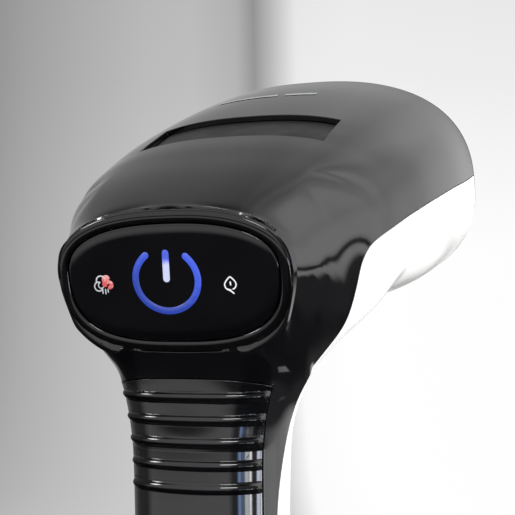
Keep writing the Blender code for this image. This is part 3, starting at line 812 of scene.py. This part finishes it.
def maths(finish, kind, first, second, vector=False):
    """A maths node on sockets or constants, as its output socket."""
    made = node(finish, "ShaderNodeVectorMath" if vector else "ShaderNodeMath")
    made.operation = kind
    wire(finish, first, made.inputs[0])
    wire(finish, second, made.inputs[1])
    return made.outputs["Value" if kind == "DOT_PRODUCT" or not vector else "Vector"]


def glow(name, stops, start, end, grain, strength=1.0):
    """A diffused, grained lamp colour, graded from one (across, up) spot to another."""
    finish, shader = new_finish(name, (0.02, 0.02, 0.02), 0.3, Emission_Strength=strength)
    vary(finish, shader, noise(finish, 220.0), 0.25, 0.4)
    where = node(finish, "ShaderNodeTexCoord").outputs["Object"]
    start, end = head_at(*start, print_s), head_at(*end, print_s)
    way = end - start
    along = maths(finish, "SUBTRACT", where, start, vector=True)
    along = maths(finish, "DOT_PRODUCT", along, way / way.length_squared, vector=True)
    grains = remap(finish, noise(finish, 1500.0, 1.0), 0.3, 0.7, -grain / 2, grain / 2)
    lamp = grade(finish, maths(finish, "ADD", along, grains), stops)
    wire(finish, lamp, shader.inputs["Emission Color"])
    return finish


ring_turns = [radians(a) for a in spread((121.0, 414.0, 3.0))]
ring_line = [(-1.2 + 8.35 * cos(a), -1.9 + 7.8 * sin(a)) for a in ring_turns]
ring_stops = ((0.25, (0.012, 0.045, 0.40)), (0.8, (0.045, 0.105, 0.78)))
ring_blue = glow("blue lamp ring", ring_stops, (-5, -10), (4, 6), 0.25)
add_piece("power_symbol_ring", stroke_mesh(ring_line, 0.86), ring_blue)

bar_stops = ((0.25, (0.06, 0.11, 0.72)), (0.45, (0.16, 0.20, 0.85)), (0.8, (0.62, 0.66, 0.92)))
bar_blue = glow("blue lamp bar", bar_stops, (-1, 4.5), (-1, 1.2), 0.15)
bar_line = [(-0.75 - 0.05 * k, 5.65 - 0.9 * k) for k in range(10)]
add_piece("power_symbol_bar", stroke_mesh(bar_line, 0.88), bar_blue)


def arc(x, n, r, start, end):
    turns = [radians(a) for a in spread((start, end, 9.0))]
    return [(x + r * cos(a), n + r * sin(a)) for a in turns]


white_stops = ((0.25, (0.55, 0.58, 0.62)), (0.8, (0.95, 0.96, 0.98)))
red_stops = ((0.25, (0.75, 0.10, 0.11)), (0.8, (0.95, 0.42, 0.42)))
icon_white = glow("white lamp", white_stops, (-21, -4), (-16, 0), 0.5, 0.9)
icon_red = glow("red lamp", red_stops, (-17, -4), (-16, 0), 0.8, 0.9)
drop_left = [
    (15.5, -1.3), (14.8, -1.95), (14.2, -2.7), (13.98, -3.4), (14.25, -4.15), (14.9, -4.6),
    (15.6, -4.55),
]
drop_right = [
    (15.5, -1.3), (16.3, -2.0), (16.85, -2.8), (16.9, -3.5), (16.5, -4.15), (15.9, -4.45),
]
drop_tail = [(14.6, -4.3), (15.5, -4.9), (16.3, -5.55)]
icons = (
    ("steam_symbol_left", arc(-20.0, -3.3, 1.15, 60, 330), 0.17, icon_white),
    ("steam_symbol_top", arc(-19.2, -1.9, 1.3, 20, 200), 0.17, icon_white),
    ("steam_symbol_curl", arc(-19.3, -3.0, 0.75, 100, 330), 0.14, icon_white),
    ("steam_symbol_leg_a", [(-19.0, -3.9), (-19.0, -5.2)], 0.16, icon_white),
    ("steam_symbol_leg_b", [(-18.2, -3.9), (-18.2, -5.3)], 0.16, icon_white),
    ("steam_symbol_leg_c", [(-17.5, -3.9), (-17.5, -4.9)], 0.14, icon_white),
    ("steam_symbol_lit_top", arc(-17.7, -1.6, 0.62, 0, 359), 0.58, icon_red),
    ("steam_symbol_lit_right", arc(-17.0, -2.9, 0.62, -130, 120), 0.52, icon_red),
    ("steam_symbol_lit_low", arc(-18.2, -2.7, 0.4, 0, 359), 0.34, icon_red),
    ("dry_symbol_left", rounded_line(drop_left, 6), 0.17, icon_white),
    ("dry_symbol_right", rounded_line(drop_right, 6), 0.17, icon_white),
    ("dry_symbol_slash", [(15.45, -2.5), (15.55, -3.5)], 0.19, icon_white),
    ("dry_symbol_tail", rounded_line(drop_tail, 6), 0.18, icon_white),
)
for name, line, half_width, finish in icons:
    add_piece(name, stroke_mesh(line, half_width), finish)


# ---------- release bar
# A satin black bar sunk 1.6 mm into the roof. It follows the roof's curve, and pressing it frees
# the brush that clips over the steam plate.

bar_row = stations("head", (bar_far - 0.3, chin_s, 1.0))
bar_row += stations("neck", (0.0, fan_angle_under(bar_near + 0.3), 1.0))[1:]
bar_sections = sections_at(bar_row)


def bar_point(i, j):
    section = bar_sections[i]
    start = section.angle_at_x(27.2)
    return section.point(start + (pi / 2 - start) * j / 24, -1.6) * MM


bm = grid_mesh(len(bar_sections), 24, bar_point)
add_left_half(bm)
bar_black = surface(
    "satin black bar", ((0.005, 0.005, 0.006), (0.009, 0.009, 0.010)), (0.36, 0.5),
    [(130.0,), (50.0,), (2600.0, 2.0)], 0.010, Specular_IOR_Level=0.3,
)
bar = add_piece("release_bar_curved", bm, bar_black, "release_bar", body="bar")
give_wall(bar, 1.7, 0.5)


# ---------- steam plate and its seal
# Cast aluminium with a ground face and an arch of steam holes, in a red silicone seal.

plate_low, plate_high = 127.8, 132.3
hole_turns = [radians(a) for a in (0, 30, 60, 90, 120, 150, 180)]
hole_spots = [(34 * cos(a), 2 + 20 * sin(a)) for a in hole_turns]
hole_spots += [(-24, -13), (-8, -17), (8, -17), (24, -13)]
bm = bmesh.new()
ring = bmesh.ops.create_circle(bm, segments=160, radius=1.0)["verts"]
for k, vert in enumerate(ring):
    x, n = outline_point(rim_outline, -5.7, tau * k / 160)
    vert.co = (x, n, 0.0)
for x, n in hole_spots:
    place = Matrix.Translation((x, n, 0.0))
    bmesh.ops.create_circle(bm, segments=32, radius=1.7, matrix=place)
bmesh.ops.triangle_fill(bm, edges=bm.edges[:], use_beauty=True)
made = bmesh.ops.extrude_face_region(bm, geom=bm.faces[:])["geom"]
for vert in bm.verts:
    vert.co.z = plate_low
for item in made:
    if isinstance(item, bmesh.types.BMVert):
        item.co.z = plate_high
for vert in bm.verts:
    vert.co = head_at(*vert.co)
plate_grey = surface(
    "ground aluminium", ((0.55, 0.56, 0.57), (0.66, 0.67, 0.68)), (0.28, 0.46),
    [(240.0, 4.0, (1.0, 6.0, 6.0)), (60.0,), (900.0, 3.0, (1.0, 8.0, 8.0))], 0.010, Metallic=1.0,
)
plate = add_piece("steam_plate_drilled", bm, plate_grey, "steam_plate")
round_edges(plate, 0.35, 60)

silicone = surface(
    "red silicone", ((0.38, 0.07, 0.04), (0.47, 0.10, 0.06)), (0.5, 0.7),
    [(400.0,), (120.0,), (1800.0,)], 0.02,
)
gasket_path = ((-6.2, 127.5), (-6.2, 124.5), (-9.8, 124.5), (-9.8, 127.5))
bm = hoop_mesh(softened(gasket_path, 0.5), along_outline(rim_outline), 120)
add_piece("plate_seal", bm, silicone, "plate_gasket")


# ---------- trigger and tank latch
# Satin black levers in the white front shell. The trigger stands 2.2 mm proud with a shallow
# finger hollow; the latch is a small push key with grip lines.

key_top, key_foot, key_half = 151.0, 107.0, 7.6
trigger_sections = sections_at(stations("handle", (key_top, key_foot, 1.0)))


def front_patch(sections, half, rise, columns):
    """A patch of the front of the handle between -half and +half across."""

    def place(i, j):
        section = sections[i]
        x = half * (2 * j / columns - 1)
        off = rise(section, x)
        share = arch(x / (section.half + off), section.power)
        r = section.waist - (section.waist - section.inner + off) * share
        side = section.foot + section.way * r
        return Vector((x, side.x, side.y)) * MM

    return grid_mesh(len(sections), columns, place)


def push_in(bm, depth, foot=0.0, taper=1.0):
    """Make the patch a solid key by carrying it straight inwards, lower at its inner end."""
    made = bmesh.ops.extrude_face_region(bm, geom=bm.faces[:])["geom"]
    for item in made:
        if isinstance(item, bmesh.types.BMVert):
            item.co.y -= depth * MM
            item.co.z = foot * MM + (item.co.z - foot * MM) * taper


def trigger_rise(section, x):
    z = section.foot.y
    hollow = 0.9 * cos(min(1.0, abs(z - 124.0) / 13.0) * pi / 2) ** 2
    edge = min(z - key_foot, key_top - z, key_half - abs(x), 1.6) / 1.6
    return 2.2 - hollow - 0.5 * (1 - edge) ** 2


bm = front_patch(trigger_sections, key_half, trigger_rise, 24)
push_in(bm, 3.9)
trigger_black = surface(
    "satin black trigger", ((0.011, 0.011, 0.012), (0.018, 0.018, 0.019)), (0.24, 0.40),
    [(130.0,), (60.0,), (2600.0, 2.0)], 0.012,
)
trigger = add_piece(
    "steam_trigger_lever", bm, trigger_black, "steam_trigger", body="trigger"
)
round_edges(trigger, 0.4)

latch_sections = sections_at(stations("handle", (64.6, 57.6, 0.2)))


def latch_rise(section, x):
    above = section.foot.y - 61.0
    grooved = abs(above) < 2.4 and abs(x) < 5.4
    return 0.9 - (0.35 * max(0.0, cos(pi * above / 0.8)) ** 2 if grooved else 0.0)


bm = front_patch(latch_sections, 6.6, latch_rise, 28)
push_in(bm, 3.5, 57.6, 0.72)
latch = add_piece("tank_latch_key", bm, trigger_black, "tank_latch", body="latch")
round_edges(latch, 0.35)


# ---------- cord gland and cover screw
# The moulded rubber sleeve that holds the mains cord at the back of the boot, and the plated
# screw of the grip cover, sunk in its hole.


def turned_mesh(path, level, sides):
    """Sweep a (radius, distance back) path round a level axis at this height."""

    def place(i, j):
        radius, back = path[i]
        x, up = radius * cos(tau * j / sides), radius * sin(tau * j / sides)
        return Vector((x, -back, level + up)) * MM

    return grid_mesh(len(path), sides, place)


gland_level, screw_level = 66.0, 90.0
gland_path = [(3.3, 44.6), (8.2, 44.6), (8.2, 46.4), (6.0, 46.4)]
for ridge in range(4):
    y = 47.4 + 1.7 * ridge
    gland_path += [(6.0, y), (5.5, y + 0.25), (5.5, y + 0.75), (6.0, y + 1.0)]
gland_path += [(5.9, 53.6), (5.2, 54.0), (3.3, 54.0)]
rubber = surface(
    "black rubber", ((0.015, 0.015, 0.015), (0.026, 0.026, 0.026)), (0.65, 0.85),
    [(300.0,), (90.0,), (2200.0,)], 0.03,
)
gland_path = softened(gland_path, 0.25, 3)
bm = turned_mesh(gland_path + gland_path[:1], gland_level, 48)
add_piece("cord_sleeve", bm, rubber, "cord_gland")

screw_path = [
    (0.0, 41.4), (2.3, 41.4), (2.3, 45.3), (1.9, 45.9), (1.1, 46.05), (1.0, 45.2), (0.0, 45.1),
]
steel = surface(
    "plated steel", ((0.47, 0.48, 0.50), (0.58, 0.59, 0.61)), (0.18, 0.36),
    [(500.0,), (200.0,), (3000.0, 2.0)], 0.006, Metallic=1.0,
)
bm = turned_mesh(softened(screw_path, 0.15, 2, closed=False), screw_level, 40)
add_piece("cover_screw_head", bm, steel, "cover_screw")


# ---------- water tank
# Blown smoky polycarbonate with a 2 mm wall and a soft lower edge, a rubber filling flap at its
# front, and a rubber foot pad that is stuck below.

tank_size = Section("handle", 53.0)
tank_side = (
    (1.8, -6.0), (2.2, -4.9), (3.0, -3.7), (4.6, -2.6), (7.0, -1.8), (14.0, -1.2), (24.0, -0.8),
    (42.0, -0.45), (53.0, -0.3),
)


def tank_off(z):
    return read_table(tank_side, z)[0]


cap_high, cap_low, cap_half = 42.0, 24.0, 11.0
mouth_high, mouth_low, tank_foot = 42.3, 23.7, 1.8
tank_rows = spread(
    (53.0, mouth_high, 1.8), (mouth_high, mouth_low, 1.7), (mouth_low, 5.0, 1.7),
    (5.0, tank_foot, 0.4),
)
tank_rings = [(tank_off(z), z, 1.0) for z in tank_rows]
tank_rings.append((tank_off(tank_foot) - 0.5, tank_foot, 0.97))
tank_rings += [(tank_off(tank_foot), tank_foot, share) for share in (0.6, 0.3, 0.0)]
tank_outline = (
    tank_size.half, tank_size.outer, -tank_size.inner, handle_power, handle_power,
)
tank_centre = tank_size.foot.x - (tank_size.outer + tank_size.inner) / 2
tank_counts = (8, 26, 34)


def at_level(off, z, share, turn):
    """A point on the boot's outline grown by `off`, drawn in to the middle by `share`."""
    x, r = outline_point(tank_outline, off, turn)
    y = tank_centre + (tank_size.foot.x - r - tank_centre) * share
    return Vector((x * share, y, z)) * MM


def tank_turn(off, j):
    """Turns from the middle of the front to that of the rear, past the flap's edge."""
    edge = -acos(((cap_half + 0.3) / (tank_size.half + off)) ** (handle_power / 2))
    return breaks_to_angle((-pi / 2, edge, 0.0, pi / 2), tank_counts, j)


bm = grid_mesh(
    len(tank_rings),
    sum(tank_counts),
    lambda i, j: at_level(*tank_rings[i], tank_turn(tank_rings[i][0], j)),
    lambda i, j: j >= tank_counts[0] or not mouth_low < tank_rings[i][1] < mouth_high + 0.01,
)
add_left_half(bm)
smoke = surface(
    "smoked polycarbonate", ((0.14, 0.15, 0.17), (0.19, 0.20, 0.22)), (0.04, 0.10),
    [(70.0,), (20.0,), (260.0, 1.0)], 0.006, Transmission_Weight=0.85, IOR=1.5,
)
tank = add_piece("water_tank_clear", bm, smoke, "water_tank", body="tank")
give_wall(tank, 2.0, 0.3)

flap_levels = spread((cap_high, cap_low, 0.5))
flap_columns = 28


def flap_point(i, j):
    z = flap_levels[i]
    x = cap_half * (2 * j / flap_columns - 1)
    edge = min(z - cap_low, cap_high - z, cap_half - abs(x))
    off = tank_off(z) - 0.35 * max(0.0, 1 - abs(edge - 2.2) / 0.5)
    share = arch(x / (tank_size.half + off), handle_power)
    return Vector((x, tank_size.foot.x + (-tank_size.inner + off) * share, z)) * MM


bm = grid_mesh(len(flap_levels), flap_columns, flap_point)
flap = add_piece("fill_flap", bm, rubber, "fill_cap", body="cap")
give_wall(flap, 2.6, 0.4)

pad_rings = (
    (-9.0, 0.0, 0.0), (-9.0, 0.0, 0.94), (-9.0, 0.0, 0.995), (-8.6, 0.12, 1.0),
    (-8.0, 0.45, 1.0), (-7.8, 0.8, 1.0), (-7.8, 1.5, 1.0), (-7.8, 1.5, 0.0),
)
bm = grid_mesh(len(pad_rings), 120, lambda i, j: at_level(*pad_rings[i], tau * j / 120))
pad = add_piece("foot_pad_rubber", bm, rubber, "foot_pad", body="tank")
pad.data.set_sharp_from_angle(angle=radians(50))


# ---------- roof print
# A plain silver pad-printed line on the roof, ahead of the release bar.

print_sections = sections_at(stations("head", (97.6, 94.9, 0.45)))


def roof_print(name, low, high):
    def place(i, j):
        section = print_sections[i]
        x = low + (high - low) * j / 30
        share = arch(x / section.half, section.power)
        side = section.foot + section.way * ((section.outer + 0.03) * share)
        return Vector((x, side.x, side.y)) * MM

    bm = thick_mesh(len(print_sections), 30, place, 0.02)
    add_piece(name, bm, silver_print)


silver_print = surface(
    "silver print", ((0.38, 0.39, 0.40), (0.47, 0.48, 0.49)), (0.32, 0.5),
    [(900.0,), (300.0,)], Metallic=0.5,
)
roof_print("roof_print_long", -21.0, -1.0)
roof_print("roof_print_short", 1.5, 12.0)


# ---------- working parts inside
# These CAD pieces keep their own shapes: the boiler castings, lamps, boards, pump, hose,
# springs and brackets that show when a lever moves or the tank is off.

finishes = {
    "black_gloss": black_gloss, "black_satin": satin_black, "white_gloss": white_gloss,
    "lens_black": lens_black, "smoked_plastic": smoke, "black_rubber": rubber,
    "red_silicone": silicone, "steel": steel,
    "grey_plastic": surface(
        "moulded grey", ((0.30, 0.31, 0.32), (0.35, 0.36, 0.37)), (0.38, 0.55),
        [(200.0,), (60.0,), (2400.0, 2.0)], 0.02,
    ),
    "clear_plastic": surface(
        "clear light guide", ((0.72, 0.80, 0.93), (0.79, 0.85, 0.97)), (0.14, 0.28),
        [(300.0,), (90.0,)], Transmission_Weight=0.7,
    ),
    "cast_aluminium": surface(
        "sand cast aluminium", ((0.54, 0.55, 0.56), (0.70, 0.71, 0.72)), (0.36, 0.6),
        [(700.0,), (150.0,), (1600.0,)], 0.06, Metallic=1.0,
    ),
    "brass": surface(
        "turned brass", ((0.62, 0.43, 0.17), (0.77, 0.57, 0.26)), (0.22, 0.42),
        [(600.0, 3.0, (1.0, 1.0, 9.0)), (120.0,), (900.0, 2.0, (1.0, 1.0, 12.0))], 0.01,
        Metallic=1.0,
    ),
    "board_green": surface(
        "solder mask green", ((0.012, 0.09, 0.04), (0.05, 0.20, 0.10)), (0.3, 0.5),
        [(900.0,), (420.0, 1.0, (1.0, 4.0, 4.0)), (420.0, 1.0, (1.0, 4.0, 4.0))], 0.03,
    ),
    "ceramic": surface(
        "glazed ceramic", ((0.80, 0.78, 0.71), (0.88, 0.86, 0.80)), (0.25, 0.45),
        [(300.0,), (110.0,), (1200.0,)], 0.02,
    ),
}
finishes["ceramic_white"] = finishes["ceramic"]
for name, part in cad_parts.items():
    if not part.hide_render:
        for spot in part.material_slots:
            spot.material = finishes[spot.material.name.split(".")[0]]


# ---------- studio
# A pale paper floor, and a wall behind it whose light is painted as a pale glow: painted shade at
# the left, a painted dark band, painted bright light at the right and a painted fade towards the
# top; soft lights above and at the right, and a room round it all that the gloss reflects.


def blend(finish, kind, first, second, share=1.0):
    """Two colours mixed, as the output socket."""
    made = node(finish, "ShaderNodeMix")
    made.data_type, made.blend_type = "RGBA", kind
    for k, value in ((0, share), (6, first), (7, second)):
        wire(finish, value, made.inputs[k])
    return made.outputs[2]


wall_left, wall_right = -0.6195, 0.6155
# Painted light across the wall, as glow: painted shade at the left, a painted dark band near the
# middle, painted bright light at the right.
painted_wall_light = (
    (0.0, 0.33), (0.264, 0.36), (0.292, 0.42), (0.343, 0.50), (0.404, 0.58), (0.446, 0.60),
    (0.4875, 0.53), (0.504, 0.355), (0.52, 0.58), (0.5435, 0.97), (0.59, 1.0), (1.0, 0.96),
)
# Painted fade: the wall's glow grows darker towards the top.
painted_wall_falloff = ((0.0, 1.0), (0.35, 1.0), (0.49, 0.95), (0.72, 0.86), (1.0, 0.8))
round_stops = (
    (0.0, 0.62), (0.03, 0.60), (0.055, 0.47), (0.09, 0.44), (0.12, 0.42), (0.16, 0.28),
    (0.22, 0.15), (0.29, 0.20), (0.325, 1.0), (0.50, 1.3), (0.555, 1.3), (0.575, 0.3),
    (0.74, 0.3), (0.76, 2.3), (0.80, 2.2), (0.84, 1.8), (0.86, 1.4), (0.92, 0.9),
    (0.96, 0.95), (1.0, 0.62),
)
rise_stops = (
    (0.0, 0.02), (0.25, 0.03), (0.29, 0.08), (0.345, 0.08), (0.375, 0.9), (0.40, 1.0),
    (0.415, 0.9), (0.432, 0.06), (0.45, 0.06), (0.47, 0.8), (0.50, 1.0), (0.62, 1.0),
    (0.72, 0.88), (0.79, 0.95), (0.96, 0.95), (1.0, 0.6),
)
room_windows = (
    (0.597, 0.612, 0.37, 0.43, (2.2, 3.4, 6.0)), (0.616, 0.624, 0.37, 0.43, (1.6, 2.0, 3.0)),
    (0.630, 0.652, 0.37, 0.43, (7.0, 7.6, 8.4)), (0.656, 0.668, 0.37, 0.43, (15.0, 15.0, 15.0)),
    (0.700, 0.722, 0.37, 0.43, (9.0, 10.0, 12.0)), (0.727, 0.737, 0.37, 0.43, (15.0, 15.0, 15.0)),
    (0.80, 0.855, 0.115, 0.175, (1.3, 1.3, 1.3)),
)
facing = Matrix.Rotation(radians(20.0), 3, "Z")
wall_y, wall_turn = 0.95, 0.25
wall_path = [(-2.6, -0.0004), (wall_y - wall_turn, -0.0004)]
for k in range(1, 13):
    a = pi / 2 * k / 12
    wall_path.append((wall_y - wall_turn + wall_turn * sin(a), wall_turn - wall_turn * cos(a)))
wall_path.append((wall_y, 1.6))
bm = grid_mesh(len(wall_path), 8, lambda i, j: facing @ Vector((-2.8 + 0.7 * j, *wall_path[i])))
# The wall glows with painted light and shade; the floor in front is plain pale paper lit by the
# lamps.
paper, shader = new_finish("backdrop paper with painted light", (0.0, 0.0, 0.0), 0.9, Specular_IOR_Level=0.0)
where = node(paper, "ShaderNodeTexCoord")
turn = node(paper, "ShaderNodeMapping", Rotation=(0.0, 0.0, radians(-20.0)))
split = node(paper, "ShaderNodeSeparateXYZ")
wire(paper, where.outputs["Object"], turn.inputs["Vector"])
wire(paper, turn.outputs["Vector"], split.inputs["Vector"])
across = remap(paper, split.outputs["X"], wall_left, wall_right, 0.0, 1.0)
tones = grade(paper, across, painted_wall_light)
painted_fade = grade(paper, remap(paper, split.outputs["Z"], 0.0295, 0.5784, 0.0, 1.0), painted_wall_falloff)
# The painted light across the wall times its painted fade upward becomes the wall's glow.
wire(paper, blend(paper, "MULTIPLY", tones, painted_fade), shader.inputs["Emission Color"])
back = split.outputs["Y"]
wire(paper, remap(paper, back, 0.3, 0.6, 0.0, 1.0), shader.inputs["Emission Strength"])
wire(paper, remap(paper, back, 0.3, 0.6, 0.8, 0.0), shader.inputs["Base Color"])
vary(paper, shader, noise(paper, 9.0), 0.8, 1.0)
sheet = mesh_object("backdrop", bm, paper)
sheet.visible_glossy = False


def soft_light(name, place, target, wide, high, brightness, glossy):
    """A soft box of this brightness, seen or not in the gloss."""
    lamp = bpy.data.lights.new(name, "AREA")
    lamp.shape = "RECTANGLE"
    lamp.size, lamp.size_y = wide, high
    lamp.energy = brightness * pi * wide * high
    held = new_object(name, lamp)
    held.location = place
    held.rotation_euler = (Vector(target) - Vector(place)).to_track_quat("-Z", "Y").to_euler()
    held.visible_glossy = glossy


soft_light("overhead", (-0.1, 0.2, 1.2), (0.0, 0.0, 0.2), 1.2, 1.2, 1.2, False)
soft_light("right_fill", (0.95, 0.15, 0.15), (0.0, 0.02, 0.18), 0.9, 0.9, 5.0, False)
soft_light("rear_skylight", (0.22, -0.62, 0.95), (0.0, -0.05, 0.16), 0.34, 0.16, 18.0, True)
soft_light("left_skylight", (-0.75, -0.30, 0.80), (0.0, -0.05, 0.16), 0.20, 0.20, 18.0, True)

room = bpy.data.worlds.new("room")
room.use_nodes = True
bpy.context.scene.world = room
split = node(room, "ShaderNodeSeparateXYZ")
wire(room, node(room, "ShaderNodeTexCoord").outputs["Generated"], split.inputs["Vector"])
behind = maths(room, "MULTIPLY", split.outputs["Y"], -1.0)
bearing = maths(room, "ARCTAN2", split.outputs["X"], behind)
bearing = maths(room, "ADD", maths(room, "DIVIDE", bearing, tau), 0.5)
height = maths(room, "ADD", maths(room, "MULTIPLY", split.outputs["Z"], 0.5), 0.5)


def between(value, low, high, soft):
    """1 between two edges and 0 outside them, with soft steps."""
    steps = []
    for edge in (low, high):
        steps.append(remap(room, value, edge - soft, edge + soft, 0.0, 1.0))
        steps[-1].node.interpolation_type = "SMOOTHSTEP"
    return maths(room, "SUBTRACT", *steps)


light = blend(room, "MULTIPLY", grade(room, bearing, round_stops), grade(room, height, rise_stops))
for start, end, low, high, tone in room_windows:
    across, upward = between(bearing, start, end, 0.003), between(height, low, high, 0.008)
    shown = maths(room, "MULTIPLY", across, upward)
    pane = node(room, "ShaderNodeVectorMath")
    pane.operation = "SCALE"
    wire(room, tone, pane.inputs[0])
    wire(room, shown, pane.inputs["Scale"])
    light = blend(room, "ADD", light, pane.outputs["Vector"])
seen = node(room, "ShaderNodeLightPath").outputs["Is Camera Ray"]
light = blend(room, "MIX", light, (0.84, 0.84, 0.84, 1.0), seen)
wire(room, light, room.node_tree.nodes["Background"].inputs["Color"])


# ---------- camera
# A 77 mm lens on a full-frame camera, 30 cm behind and to the right of the panel.

camera = new_object("camera", bpy.data.cameras.new("camera"))
camera.data.sensor_width = 36.0
camera.data.lens = 77.19
yaw, pitch, roll = radians(20.0), radians(-1.0), radians(1.0)
look = Vector((-sin(yaw) * cos(pitch), cos(yaw) * cos(pitch), -sin(pitch)))
right = Vector((cos(yaw), sin(yaw), 0.0))
up = right.cross(look)
right, up = right * cos(roll) - up * sin(roll), right * sin(roll) + up * cos(roll)
spot = Vector((0.112325, -0.300460, 0.198462))
camera.matrix_world = Matrix.Translation(spot) @ Matrix((right, up, -look)).transposed().to_4x4()
bpy.context.scene.camera = camera
bpy.context.scene.view_settings.view_transform = "Standard"
